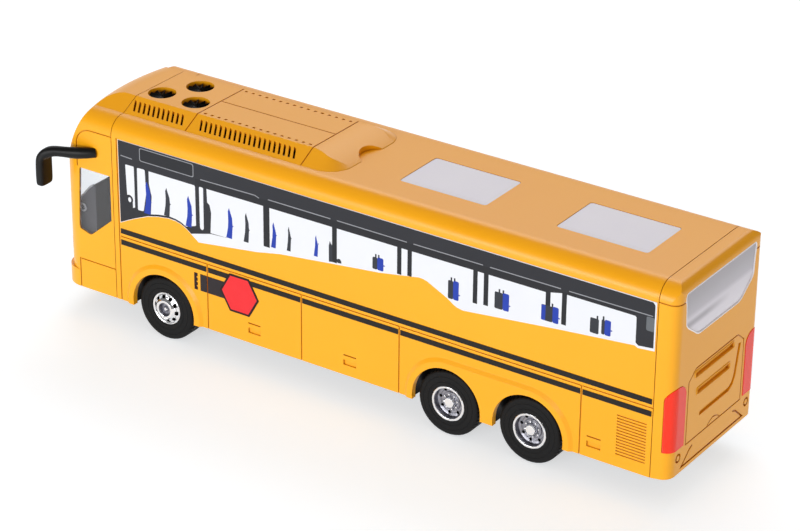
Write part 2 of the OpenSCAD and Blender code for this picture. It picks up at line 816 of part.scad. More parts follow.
module arch_flare(x) {
  translate([x, half_width, axle_z])
    rotate([-90, 0, 0])
      rotate_extrude()
        polygon([[arch_radius - overrun, -wall / 2], [arch_radius - overrun, flare_proud],
          [arch_radius + flare_top_share * flare_width, flare_proud],
          [arch_radius + flare_width, 0], [arch_radius + flare_width, -wall / 2]]);
}

// Raised panel that joins the flares of the two rear axles
module arch_bridge() {
  top = axle_z + arch_radius + flare_width;
  along_x(rear_axle_x, middle_axle_x)
    polygon([[half_width - wall / 2, sill_z], [half_width + flare_proud, sill_z],
      [half_width + flare_proud, top - (1 - flare_top_share) * flare_width], [half_width, top],
      [half_width - wall / 2, top]]);
}

module side_lines() {
  inner = half_width - groove_depth;
  outer = half_width + overrun;
  for (x = panel_stations)
    box(x - groove_width / 2, x + groove_width / 2, inner, outer, sill_z - overrun, crease_z);
  box(rear_seam_x - overrun, band_front_x, inner, outer, crease_z - groove_width / 2,
    crease_z + groove_width / 2);
  box(band_front_x + groove_width, band_front_x + 2 * groove_width, inner, outer,
    sill_z - overrun, roof_z - shoulder_radius);
  for (i = [0:louvre_lines - 1])
    box(louvre_x - louvre_length / 2, louvre_x + louvre_length / 2, inner, outer,
      sill_z + louvre_low + i * louvre_height / louvre_lines,
      sill_z + louvre_low + i * louvre_height / louvre_lines + groove_width);
  for (x = latch_stations) {
    box(x - latch_length / 2, x + latch_length / 2, half_width - latch_depth, outer,
      sill_z + latch_low, sill_z + latch_low + latch_height / 2);
    box(x - latch_length / 2, x + latch_length / 2, half_width - latch_depth, outer,
      sill_z + latch_low + latch_height - groove_width, sill_z + latch_low + latch_height);
  }
}

module front_cap() {
  color(yellow)
  difference() {
    union() {
      difference() {
        union() {
          front_volume(0, front_seam_x, sill_z);
          intersection() {
            translate([bumper_proud, 0, 0])
              front_volume(0, corner_x - cab_corner_radius / 2, sill_z);
            box(front_seam_x, nose_x + 2 * overrun, -body_width, body_width, sill_z,
              sill_z + bumper_height);
          }
        }
        front_volume(wall, front_seam_x - overrun, sill_z - overrun);
      }
      spigot(front_seam_x - spigot_length, front_seam_x + spigot_wall, front_seam_x,
        front_seam_x + spigot_wall);
      pod_bulkhead();
    }
    along_x(corner_x, nose_x + 2 * overrun)
      windscreen_outline(0);
    along_y(-half_width - overrun, half_width + overrun)
      cab_window_outline(0);
    both_sides()
      headlamp_prism(0);
    both_sides()
      bar_y(mirror_foot_x, mirror_foot_z, mirror_peg / 2 + mirror_peg_play,
        half_width - wall - overrun, half_width + overrun);
    difference() {
      cab_lines();
      front_volume(groove_depth, front_seam_x - overrun, sill_z - overrun);
    }
  }
}

// Closes the cap where its roof stands above the shell
module pod_bulkhead() {
  along_x(front_seam_x, front_seam_x + spigot_wall)
    difference() {
      pod_profile(wall / 2);
      shell_profile(wall + spigot_play + spigot_wall, sill_z);
    }
}

module cab_lines() {
  window_top = sill_z + cab_window_low + cab_window_height;
  door_low = sill_z + headlamp_low;
  door_top = roof_z - shoulder_radius;
  reach = front_seam_x + cab_window_margin + cab_window_length;
  both_sides() {
    box(front_seam_x - overrun, reach, 0, half_width + overrun, door_low, door_low + groove_width);
    box(reach, reach + groove_width, 0, half_width + overrun, sill_z - overrun,
      door_low + groove_width);
    box(front_seam_x - overrun, reach - door_round, 0, half_width + overrun,
      door_top - groove_width, door_top);
    box(reach - groove_width, reach, 0, half_width + overrun, window_top + groove_width,
      door_top - door_round);
    intersection() {
      box(reach - door_round, reach, 0, half_width + overrun, door_top - door_round, door_top);
      difference() {
        bar_y(reach - door_round, door_top - door_round, door_round, 0, half_width + overrun);
        bar_y(reach - door_round, door_top - door_round, door_round - groove_width, -overrun,
          half_width + 2 * overrun);
      }
    }
  }
  for (i = [0:2])
    box(corner_x, nose_x + 2 * overrun, -windscreen_width / 4, windscreen_width / 4,
      door_low + (3 * i + 1) * groove_width * 2, door_low + (3 * i + 2) * groove_width * 2);
}

module rear_cap() {
  color(yellow)
  difference() {
    union() {
      difference() {
        rear_volume(0, rear_seam_x - seam_gap, sill_z);
        rear_volume(wall, rear_seam_x + overrun, sill_z - overrun);
      }
      spigot(rear_seam_x - spigot_wall, rear_seam_x + spigot_length,
        rear_seam_x - seam_gap - spigot_wall, rear_seam_x - seam_gap);
    }
    along_x(tail_x - overrun, tail_x + tail_corner_radius)
      rear_window_outline(0);
    both_sides()
      tail_lamp_prism(0);
    difference() {
      tail_lines();
      rear_volume(groove_depth, rear_seam_x + overrun, sill_z - overrun);
    }
    difference() {
      tail_channels();
      rear_volume(channel_depth, rear_seam_x + overrun, sill_z - overrun);
    }
    along_y(-half_width - overrun, half_width + overrun)
      polygon([[rear_seam_x, sill_z - overrun], [rear_seam_x, sill_z],
        [tail_x, sill_z + tail_lift], [tail_x - overrun, sill_z + tail_lift],
        [tail_x - overrun, sill_z - overrun]]);
  }
}

// A point of the engine door, given as shares of its size
function door_point(p, s) = [s * p[0] * engine_door_half,
  sill_z + engine_door_low + p[1] * engine_door_height];

// Unit normal of a line, and the mitred edge of a path at one of its points
function path_normal(a, b) = [a[1] - b[1], b[0] - a[0]] / norm(b - a);
function path_edge(points, closed, i, w) =
  let (n = len(points))
  let (after = i < n - 1 || closed ? path_normal(points[i], points[(i + 1) % n]) :
    path_normal(points[i - 1], points[i]))
  let (before = i > 0 || closed ? path_normal(points[(i + n - 1) % n], points[i]) : after)
  points[i] + w * (before + after) / (1 + before * after);

// A point of the bumper line, given as shares of the door and of its height
function bumper_point(p, s) = [s * p[0] * engine_door_half, sill_z + p[1] * rear_bumper_line];

// A groove of some width through points of the rear face, open or closed
module rear_path(points, width, closed = false) {
  last = len(points) - 1;
  inner = [for (i = [0:last]) path_edge(points, closed, i, width / 2)];
  outer = [for (i = [0:last]) path_edge(points, closed, i, -width / 2)];
  along_x(tail_x - overrun, tail_x + tail_corner_radius)
    difference() {
      polygon(closed ? outer : concat(inner, [for (i = [last:-1:0]) outer[i]]));
      if (closed)
        polygon(inner);
    }
}

module tail_lines() {
  ed = engine_door_shares;
  rear_path(concat([for (p = ed) door_point(p, 1)],
    [for (i = [len(ed) - 1:-1:0]) door_point(ed[i], -1)]), groove_width, true);
  along_x(tail_x - overrun, tail_x + tail_corner_radius)
    difference() {
      translate([0, sill_z + engine_door_low + grip_height - grip_radius])
        circle(grip_radius);
      translate([0, sill_z + engine_door_low + grip_height - grip_radius])
        circle(grip_radius - groove_width);
      translate([-body_width, sill_z + engine_door_low - body_height])
        square([2 * body_width, body_height]);
    }
  both_sides()
    box(tail_x - overrun, rear_seam_x + overrun, rear_window_half - groove_width,
      half_width + overrun, sill_z + rear_corner_line, sill_z + rear_corner_line + groove_width);
}

// Deep lines of the rear face: door channels, bumper line and rings
module tail_channels() {
  for (p = engine_slot_shares)
    rear_path([door_point(p[0], 1), door_point(p[1], 1)], channel_width);
  rear_path([for (p = engine_trough_shares) door_point(p, 1)], channel_width);
  rear_path(concat([for (p = bumper_line_shares) bumper_point(p, -1)],
    [for (i = [len(bumper_line_shares) - 1:-1:0]) bumper_point(bumper_line_shares[i], 1)]),
    bumper_line_width);
  along_x(tail_x - overrun, tail_x + tail_corner_radius)
    for (s = [-1, 1])
      translate([s * (engine_door_half + tail_lamp_width / 2),
        sill_z + rear_bumper_line - bumper_line_width])
        difference() {
          circle(d = rear_ring_diameter);
          circle(d = rear_ring_diameter - 2 * bumper_line_width);
        }
}

// Pod body with round corners, moved inwards by inset and starting at z0
module pod_volume(inset, z0, x1) {
  base = pod_base_half - inset * pod_slant;
  top_z = pod_z - inset;
  corner_base = pod_corner - inset * pod_slant;
  corner_top = corner_base - pod_run * (pod_height - inset) / pod_height;
  drop = roof_z - z0;
  spread = pod_run * drop / pod_height;
  cx = pod_rear_x + pod_corner;
  cy = pod_base_half - pod_corner;
  intersection() {
    union() {
      along_x(cx, x1)
        polygon([[-base - spread, z0], [base + spread, z0],
          [cy + corner_top, top_z], [-cy - corner_top, top_z]]);
      along_y(-cy, cy)
        polygon([[cx - corner_base - spread, z0], [cx + overrun, z0],
          [cx + overrun, top_z], [cx - corner_top, top_z]]);
      for (s = [-1, 1])
        translate([cx, s * cy, z0])
          cylinder(r1 = corner_base + spread, r2 = corner_top, h = top_z - z0);
    }
    union() {
      bar_y(pod_rear_x + pod_slope_length, pod_z - pod_slope_radius, pod_slope_radius - inset,
        -half_width, half_width);
      box(pod_rear_x + pod_slope_length, x1 + overrun, -half_width, half_width,
        z0 - overrun, pod_z + overrun);
    }
  }
}

module roof_pod() {
  cross_x = front_seam_x - pod_line;
  color(yellow)
  difference() {
    union() {
      difference() {
        pod_volume(0, roof_z, front_seam_x - seam_gap);
        difference() {
          pod_volume(pod_wall, roof_z - overrun, front_seam_x + overrun);
          pod_notch(pod_wall);
        }
      }
      for (p = fan_places)
        translate([front_seam_x - p[0], p[1], roof_z + liner_play])
          cylinder(r = fan_radius + fan_collar, h = pod_height - liner_play - pod_wall / 2);
    }
    for (p = fan_places)
      translate([front_seam_x - p[0], p[1], roof_z])
        cylinder(r = fan_radius, h = pod_height + overrun);
    both_sides() {
      slot_row(front_seam_x - front_slot_start, front_slots);
      slot_row(cross_x - rear_slot_start, rear_slots);
    }
    difference() {
      union() {
        box(cross_x - groove_width / 2, cross_x + groove_width / 2, -half_width, half_width,
          roof_z - overrun, pod_z + overrun);
        box(pod_rear_x + pod_slope_length - groove_width / 2,
          pod_rear_x + pod_slope_length + groove_width / 2, -half_width, half_width,
          roof_z - overrun, pod_z + overrun);
        box(pod_rear_x + pod_slope_length, cross_x, -groove_width / 2, groove_width / 2,
          roof_z, pod_z + overrun);
        both_sides()
          for (i = [0:pod_pits - 1])
            translate([cross_x - pit_start - i * pit_pitch, pit_y, roof_z])
              linear_extrude(height = pod_height + overrun)
                square([pit_length, slot_width], center = true);
      }
      pod_volume(groove_depth, roof_z - overrun, front_seam_x + overrun);
    }
    pod_notch(0);
  }
}

module pod_notch(grow) {
  translate([pod_rear_x + pod_notch_depth - notch_radius, 0, roof_z - 2 * overrun])
    cylinder(r = notch_radius + grow, h = pod_height + 4 * overrun);
}

module slot_row(x0, count) {
  top = slot_mid - slot_length / 2;
  translate([0, 0, roof_z - overrun])
    linear_extrude(height = pod_height + 2 * overrun)
      for (i = [0:count - 1])
        translate([x0 - i * slot_pitch, top])
          polygon([[(slot_slant - slot_width) / 2, 0], [(slot_slant + slot_width) / 2, 0],
            [(slot_width - slot_slant) / 2, slot_length], [-(slot_width + slot_slant) / 2, slot_length]]);
}

// Dark plate with the fans, held under the roof opening
module pod_liner() {
  low = roof_z - wall - liner_thickness;
  fan_low = roof_z + liner_play;
  blade_radius = fan_radius - liner_play;
  blade_half = blade_share * PI * blade_radius / fan_blades;
  color(dark)
  union() {
    box(pod_opening_rear - pane_rim, pod_opening_front + pane_rim,
      -pod_opening_half - pane_rim / 2, pod_opening_half + pane_rim / 2, low, roof_z - wall);
    for (p = fan_places)
      translate([front_seam_x - p[0], p[1], 0]) {
        translate([-fan_radius / 2, 0, low])
          cylinder(r = fan_radius / 4, h = fan_low + liner_thickness - low);
        translate([0, 0, fan_low])
          cylinder(r = blade_radius, h = liner_thickness);
        translate([0, 0, fan_low])
          linear_extrude(height = liner_thickness + fan_blade_height) {
            circle(fan_radius / 4);
            for (i = [0:fan_blades - 1])
              rotate(i * 360 / fan_blades)
                polygon([[0, 0], [blade_radius - liner_play, -blade_half],
                  [blade_radius - liner_play, blade_half]]);
          }
      }
  }
}

// Clear and milky panes
module windscreen() {
  color(clear)
  union() {
    intersection() {
      difference() {
        front_volume(pane_recess, front_seam_x, sill_z);
        front_volume(wall + pane_rim_thickness, front_seam_x - overrun, sill_z - overrun);
      }
      along_x(corner_x, nose_x + overrun)
        windscreen_outline(pane_gap);
    }
    intersection() {
      difference() {
        front_volume(wall, front_seam_x, sill_z);
        front_volume(wall + pane_rim_thickness, front_seam_x - overrun, sill_z - overrun);
      }
      along_x(corner_x, nose_x + overrun)
        windscreen_outline(-pane_rim);
    }
  }
}

module cab_window() {
  color(clear)
  intersection() {
    difference() {
      front_volume(pane_recess, front_seam_x, sill_z);
      front_volume(pane_recess + pane_thickness, front_seam_x - overrun, sill_z - overrun);
    }
    along_y(0, half_width + overrun)
      cab_window_outline(pane_gap);
  }
}

module cab_window_left() {
  cab_window();
}

module cab_window_right() {
  mirror([0, 1, 0])
    cab_window();
}

module rear_window() {
  color(milky)
  union() {
    along_x(tail_x + pane_recess, tail_x + wall + pane_rim_thickness)
      rear_window_outline(pane_gap);
    intersection() {
      along_x(tail_x + wall, tail_x + wall + pane_rim_thickness)
        rear_window_outline(-pane_rim);
      rear_volume(wall + pane_gap, rear_seam_x - spigot_wall - 2 * seam_gap, sill_z);
      box(tail_x + wall, rear_seam_x, -half_width, half_width, sill_z, roof_z);
    }
  }
}

module skylight(x) {
  low = roof_z - wall - pane_rim_thickness;
  color(milky)
  translate([x, 0, low])
    union() {
      linear_extrude(height = roof_z - pane_recess / 2 - low)
        round_rect(skylight_length - 2 * pane_gap, skylight_width - 2 * pane_gap, skylight_corner);
      linear_extrude(height = pane_rim_thickness)
        round_rect(skylight_length + 2 * pane_rim, skylight_width + 2 * pane_rim, skylight_corner);
    }
}

module skylight_front() {
  skylight(skylight_front_x);
}

module skylight_rear() {
  skylight(skylight_rear_x);
}

// Lamps
module tail_lamp() {
  color(red)
  intersection() {
    difference() {
      rear_volume(-lamp_proud, rear_seam_x, sill_z);
      rear_volume(wall, rear_seam_x + overrun, sill_z - overrun);
    }
    tail_lamp_prism(pane_gap);
  }
}

module tail_lamp_left() {
  tail_lamp();
}

module tail_lamp_right() {
  mirror([0, 1, 0])
    tail_lamp();
}

module headlamp() {
  color(clear)
  intersection() {
    difference() {
      front_volume(-lamp_proud, front_seam_x, sill_z);
      front_volume(wall, front_seam_x - overrun, sill_z - overrun);
    }
    headlamp_prism(pane_gap);
  }
}

module headlamp_left() {
  headlamp();
}

module headlamp_right() {
  mirror([0, 1, 0])
    headlamp();
}

// Mirrors
function mirror_point(i) = [
  mirror_foot_x + mirror_path_shares[i][0] * (mirror_head_x - mirror_foot_x),
  half_width + mirror_arm / 2 + mirror_path_shares[i][1] * (mirror_spread - mirror_arm / 2),
  mirror_foot_z - mirror_path_shares[i][2] * mirror_fall];

module side_mirror() {
  last = len(mirror_path_shares) - 1;
  color(dark)
  union() {
    bar_y(mirror_foot_x, mirror_foot_z, mirror_arm / 2, half_width, half_width + mirror_arm / 2);
    bar_y(mirror_foot_x, mirror_foot_z, mirror_peg / 2, half_width - wall, half_width + mirror_arm / 2);
    for (i = [0:last - 1])
      hull()
        for (k = [i, i + 1])
          translate(mirror_point(k))
            sphere(mirror_arm / 2 * mirror_taper_shares[k], $fn = 24);
    along_x(mirror_head_x - mirror_head_thickness / 2, mirror_head_x + mirror_head_thickness / 2)
      translate([half_width + mirror_spread, mirror_point(last)[2] - mirror_head_height / 2])
        round_rect(mirror_head_width, mirror_head_height, mirror_head_width / 3);
  }
}

module mirror_left() {
  side_mirror();
}

module mirror_right() {
  mirror([0, 1, 0])
    side_mirror();
}

// Stickers
module window_sticker() {
  color(sticker_grey)
  along_y(half_width, half_width + sticker_thickness)
    polygon([for (p = band_shares)
      [band_front_x - p[0] * band_length, sill_z + band_low + p[1] * band_height]]);
}

module window_sticker_left() {
  window_sticker();
}

module window_sticker_right() {
  mirror([0, 1, 0])
    window_sticker();
}

module stripe_outline() {
  low = sill_z + stripe_low;
  difference() {
    union() {
      translate([band_front_x - band_length, low + stripe_width + stripe_gap])
        square([band_length, stripe_width]);
      translate([band_front_x - band_length, low])
        square([band_length, stripe_width]);
    }
    for (x = panel_stations)
      translate([x - groove_width, low - stripe_gap])
        square([2 * groove_width, stripe_gap + stripe_width + stripe_gap / 2]);
  }
}

module stripes_left() {
  color(dark)
  along_y(half_width, half_width + sticker_thickness)
    difference() {
      stripe_outline();
      translate([sign_x, sign_z])
        circle(sign_radius + seam_gap, $fn = 6);
    }
}

module stripes_right() {
  color(dark)
  along_y(-half_width - sticker_thickness, -half_width)
    stripe_outline();
}

module stop_sign() {
  arm_x = sign_x + sign_radius - sign_hinge_gap;
  color(red)
  along_y(half_width, half_width + sticker_thickness) {
    translate([sign_x, sign_z])
      circle(sign_radius, $fn = 6);
    translate([arm_x, sign_z - sign_arm_width / 2])
      square([sign_arm_length, sign_arm_width]);
    translate([arm_x + sign_arm_length + sign_hinge_gap, sign_z - sign_arm_width / 2])
      square([sign_hinge_width, sign_arm_width]);
  }
}

// Chassis
module floor_plate() {
  inset = wall + floor_play;
  intersection() {
    box(tail_x, nose_x, -half_width, half_width, floor_low, floor_top);
    union() {
      front_volume(inset, front_seam_x - overrun, sill_z);
      along_x(rear_seam_x - overrun, front_seam_x)
        shell_profile(inset, sill_z);
      rear_volume(inset, rear_seam_x + overrun, sill_z);
    }
  }
}

module wheel_well(x) {
  difference() {
    union() {
      bar_y(x, axle_z, liner_radius, bearing_inner_y, liner_outer_y);
      box(x - bearing_drop, x + bearing_drop, bearing_inner_y, bearing_outer_y,
        axle_z - bearing_drop, floor_top);
    }
    for (s = [-1, 1])
      box(x + s * (bearing_drop + liner_radius) - liner_radius,
        x + s * (bearing_drop + liner_radius) + liner_radius,
        bearing_inner_y - overrun, half_width, -body_height, floor_low);
    box(x - liner_radius, x + liner_radius, bearing_inner_y - overrun, half_width, -body_height,
      axle_z - bearing_drop);
  }
}

module chassis() {
  color(dark)
  difference() {
    union() {
      floor_plate();
      both_sides()
        for (x = axle_stations)
          wheel_well(x);
      box(pad_x - pad_length / 2, pad_x + pad_length / 2, -pad_width / 2, pad_width / 2,
        floor_low - pad_height, floor_top);
    }
    both_sides()
      for (x = axle_stations)
        bar_y(x, axle_z, arch_radius, bearing_outer_y, half_width);
    for (x = axle_stations) {
      bar_y(x, axle_z, axle_radius + bearing_play, -half_width, half_width);
      box(x - axle_diameter, x + axle_diameter, -bearing_inner_y, bearing_inner_y,
        floor_low - overrun, floor_top + overrun);
    }
    box(case_back_x - case_wall - floor_play, case_front_x + case_wall + floor_play,
      -drive_left_y - floor_play, drive_left_y + floor_play, floor_low - overrun,
      floor_top + overrun);
    screw_holes(post_places, screw_diameter / 2 + screw_play, floor_low - overrun,
      floor_top + overrun);
    screw_holes([for (x = lug_places) [x, 0]], screw_diameter / 2 + screw_play,
      floor_low - overrun, floor_top + overrun);
  }
}

// Side view of the dashboard hood, lowered by drop
module dash_outline(drop, bottom) {
  low = sill_z + windscreen_low + dash_lift - drop;
  rear = nose_x - dash_depth - drop;
  polygon([[nose_x, bottom], [nose_x, low], [rear, low + dash_rise], [rear, bottom]]);
}

module dashboard() {
  inset = wall + pane_rim_thickness + floor_play;
  color(dark)
  difference() {
    intersection() {
      front_volume(inset, nose_x - dash_depth, floor_top);
      along_y(-half_width, half_width)
        dash_outline(0, floor_top);
    }
    intersection() {
      front_volume(inset + dash_wall, front_seam_x, sill_z);
      along_y(-half_width, half_width)
        dash_outline(dash_wall, sill_z);
    }
  }
}

module screws(places, length) {
  color(steel)
  for (p = places)
    translate([p[0], p[1], floor_low])
      union() {
        translate([0, 0, -screw_head_height])
          cylinder(d = screw_head, h = screw_head_height);
        translate([0, 0, -screw_head_height / 2])
          cylinder(d = screw_diameter, h = length + screw_head_height / 2);
      }
}

module chassis_screws() {
  screws(post_places, screw_length);
}

module drive_screws() {
  screws([for (x = lug_places) [x, 0]], floor_thickness + lug_height / 2);
}

// Friction drive
module case_outline(grow) {
  translate([case_back_x - grow, case_low_z - grow])
    square([case_step_x - case_back_x + 2 * grow, case_top_z - case_low_z + 2 * grow]);
  translate([case_back_x - grow, case_step_z - grow])
    square([case_front_x - case_back_x + 2 * grow, case_top_z - case_step_z + 2 * grow]);
}

module case_bores() {
  reach = drive_left_y + overrun;
  bar_y(middle_axle_x, axle_z, axle_radius + bearing_play, -reach, reach);
  bar_y(idler_x, idler_z, pin_radius + axle_fit, -reach, reach);
  bar_y(flywheel_x, flywheel_z, pin_radius + bearing_play, -reach, reach);
}

module drive_case() {
  color(dark)
  difference() {
    union() {
      difference() {
        along_y(-drive_left_y, drive_left_y - case_wall)
          case_outline(case_wall);
        along_y(-drive_left_y + case_wall, drive_left_y)
          case_outline(0);
      }
      for (x = lug_places)
        box(x - lug_length / 2 - case_wall / 4, x + lug_length / 2 + case_wall / 4,
          -lug_length / 2, lug_length / 2, floor_top, floor_top + lug_height);
    }
    case_bores();
    screw_holes([for (x = lug_places) [x, 0]], screw_diameter / 2 + screw_play,
      floor_low, floor_top + lug_height - floor_thickness / 2);
  }
}

module drive_cover() {
  color(dark)
  difference() {
    along_y(drive_left_y - case_wall, drive_left_y)
      case_outline(case_wall);
    case_bores();
  }
}

module idler_pin() {
  color(steel)
  bar_y(idler_x, idler_z, pin_radius, -drive_left_y, drive_left_y);
}

// Involute gear outline with one tooth pointing along phase
function involute(a) = tan(a) - a * PI / 180;

function flank(teeth, r) =
  let (pitch_r = teeth * gear_module / 2)
  let (base_r = pitch_r * cos(pressure_angle))
  let (half = 90 / teeth - tooth_play / 2 / pitch_r * 180 / PI)
  let (a = r > base_r ? acos(base_r / r) : 0)
  half + (involute(pressure_angle) - involute(a)) * 180 / PI;

function gear_points(teeth, phase) =
  let (pitch_r = teeth * gear_module / 2)
  let (root_r = pitch_r - dedendum_share * gear_module)
  let (tip_r = pitch_r + addendum_share * gear_module)
  let (base_r = pitch_r * cos(pressure_angle))
  let (low_r = max(root_r, base_r))
  let (steps = [0, 1 / 4, 1 / 2, 3 / 4, 1])
  let (radii = concat([root_r], [for (t = steps) low_r + t * (tip_r - low_r) + (t == 0 ? tooth_play / 8 : 0)]))
  [for (k = [0:teeth - 1])
    let (mid = phase + k * 360 / teeth)
    each concat(
      [for (r = radii) r * [cos(mid - flank(teeth, r)), sin(mid - flank(teeth, r))]],
      [for (i = [len(radii) - 1:-1:0])
        radii[i] * [cos(mid + flank(teeth, radii[i])), sin(mid + flank(teeth, radii[i]))]])];

module gear(x, z, teeth, phase, y0, y1, bore) {
  along_y(y0, y1)
    translate([x, z])
      difference() {
        polygon(gear_points(teeth, phase));
        circle(bore);
      }
}

module axle_gear() {
  color(white)
  gear(middle_axle_x, axle_z, large_teeth, mesh_angle, plane_one, plane_one + axle_gear_width,
    axle_radius + axle_fit);
}

module idler_gear() {
  color(white)
  union() {
    gear(idler_x, idler_z, pinion_teeth, mesh_angle + 180 + 180 / pinion_teeth,
      plane_one, plane_two + idler_width / 2, pin_radius + bearing_play);
    gear(idler_x, idler_z, large_teeth, 0, plane_two, plane_two + idler_width,
      pin_radius + bearing_play);
  }
}

module flywheel_pinion() {
  color(white)
  gear(flywheel_x, flywheel_z, pinion_teeth, 180 + 180 / pinion_teeth,
    plane_two - drive_gap / 2, plane_two + idler_width + drive_gap / 2, pin_radius + axle_fit);
}

module flywheel_shaft() {
  color(steel)
  bar_y(flywheel_x, flywheel_z, pin_radius, -drive_left_y, drive_left_y);
}

module flywheel() {
  color(steel)
  difference() {
    bar_y(flywheel_x, flywheel_z, flywheel_radius, plane_three, plane_three + flywheel_width);
    bar_y(flywheel_x, flywheel_z, pin_radius + axle_fit, -half_width, half_width);
  }
}

// Wheels
module tyre_section() {
  r = tyre_diameter / 2;
  band = r - seat_radius;
  difference() {
    union() {
      translate([seat_radius, -tyre_width])
        square([band - tyre_round, tyre_width]);
      translate([seat_radius, tyre_round - tyre_width])
        square([band, tyre_width - 2 * tyre_round]);
      for (y = [-tyre_round, tyre_round - tyre_width])
        translate([r - tyre_round, y])
          circle(tyre_round);
    }
    translate([seat_radius - overrun, -lip_thickness - seat_play])
      square([lip_radius - seat_radius + overrun + seat_play, lip_thickness + overrun]);
    for (k = [-1, 0, 1])
      translate([r - tread_depth, k * tyre_width / 4 - tyre_width / 2 - tread_width / 2])
        square([tread_depth + overrun, tread_width]);
  }
}

module tyre(x, s) {
  color(dark)
  translate([x, s * wheel_face_y, axle_z])
    rotate([-s * 90, 0, 0])
      rotate_extrude()
        tyre_section();
}

// Half section of a wheel web, given as shares of seat radius and width
front_web_shares = [[0, -0.82], [0.9, -0.82], [0.9, -0.16], [0.84, -0.14], [0.66, 0.11], [0.60, 0.14],
  [0.46, 0.14], [0.43, 0.12], [0.41, 0.01], [0.20, 0.01], [0.10, 0.06], [0, 0.07]];
rear_web_shares = [[0, -0.98], [0.9, -0.98], [0.9, -0.62], [0.78, -0.62], [0.62, -0.52],
  [0.50, -0.50], [0.48, -0.30], [0.34, -0.27], [0.33, -0.10], [0.25, -0.06], [0, -0.05]];

front_hole_share = 0.745;
rear_hole_share = 0.69;
rim_share = 0.88;

module wheel_section(shares) {
  r = seat_radius - seat_play;
  rim = rim_share * r;
  polygon([for (p = shares) [p[0] * r, p[1] * tyre_width]]);
  translate([rim, -tyre_width])
    square([r - rim, tyre_width]);
  translate([rim, -lip_thickness])
    square([lip_radius - rim, lip_thickness]);
  translate([0, -tyre_width])
    square([r / 2, tyre_width / 2]);
}

module hub(x, s, shares, holes, hole_share, sides) {
  color(chrome)
  translate([x, s * wheel_face_y, axle_z])
    rotate([-s * 90, 0, 0])
      difference() {
        rotate_extrude()
          wheel_section(shares);
        translate([0, 0, -tyre_width - overrun])
          cylinder(r = axle_radius + axle_fit, h = hub_bore_depth + overrun);
        for (i = [0:holes - 1])
          rotate([0, 0, i * 360 / holes])
            translate([hole_share * seat_radius, 0, -tyre_width - overrun])
              rotate([0, 0, 180 / sides])
                cylinder(d = wheel_hole / cos(180 / sides), h = tyre_width + 2 * overrun, $fn = sides);
      }
}

module front_axle() {
  color(steel)
  bar_y(front_axle_x, axle_z, axle_radius, -axle_half, axle_half);
}

module front_hub_left() {
  hub(front_axle_x, 1, front_web_shares, front_wheel_holes, front_hole_share, 4);
}

module front_tyre_left() {
  tyre(front_axle_x, 1);
}

module front_hub_right() {
  hub(front_axle_x, -1, front_web_shares, front_wheel_holes, front_hole_share, 4);
}

module front_tyre_right() {
  tyre(front_axle_x, -1);
}

module middle_axle() {
  color(steel)
  bar_y(middle_axle_x, axle_z, axle_radius, -axle_half, axle_half);
}

module middle_hub_left() {
  hub(middle_axle_x, 1, rear_web_shares, rear_wheel_holes, rear_hole_share, $fn);
}

module middle_tyre_left() {
  tyre(middle_axle_x, 1);
}

module middle_hub_right() {
  hub(middle_axle_x, -1, rear_web_shares, rear_wheel_holes, rear_hole_share, $fn);
}

module middle_tyre_right() {
  tyre(middle_axle_x, -1);
}

module rear_axle() {
  color(steel)
  bar_y(rear_axle_x, axle_z, axle_radius, -axle_half, axle_half);
}

module rear_hub_left() {
  hub(rear_axle_x, 1, rear_web_shares, rear_wheel_holes, rear_hole_share, $fn);
}

module rear_tyre_left() {
  tyre(rear_axle_x, 1);
}

module rear_hub_right() {
  hub(rear_axle_x, -1, rear_web_shares, rear_wheel_holes, rear_hole_share, $fn);
}

module rear_tyre_right() {
  tyre(rear_axle_x, -1);
}

body_shell();
front_cap();
rear_cap();
roof_pod();
pod_liner();
windscreen();
cab_window_left();
cab_window_right();
rear_window();
skylight_front();
skylight_rear();
tail_lamp_left();
tail_lamp_right();
headlamp_left();
headlamp_right();
mirror_left();
mirror_right();
window_sticker_left();
window_sticker_right();
stripes_left();
stripes_right();
stop_sign();
chassis();
dashboard();
chassis_screws();
drive_case();
drive_cover();
drive_screws();
idler_pin();
front_axle();
front_hub_left();
front_hub_right();
front_tyre_left();
front_tyre_right();
middle_axle();
middle_hub_left();
middle_hub_right();
middle_tyre_left();
middle_tyre_right();
axle_gear();
rear_axle();
rear_hub_left();
rear_hub_right();
rear_tyre_left();
rear_tyre_right();
idler_gear();
flywheel_shaft();
flywheel_pinion();
flywheel();
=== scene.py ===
# %% [markdown]
# # A three-axle toy coach
# The solids come ready made as a fixed frame: shell, caps, panes, wheels and drive, all in metres.
# This lesson gives them their finishes, adds the printed films, tyre treads and wheel nuts that
# are too fine for the solids, and sets a plain studio round them.

# %% Load the solids
import math

import bmesh
import bpy
from mathutils import Matrix, Vector
from mathutils.geometry import delaunay_2d_cdt


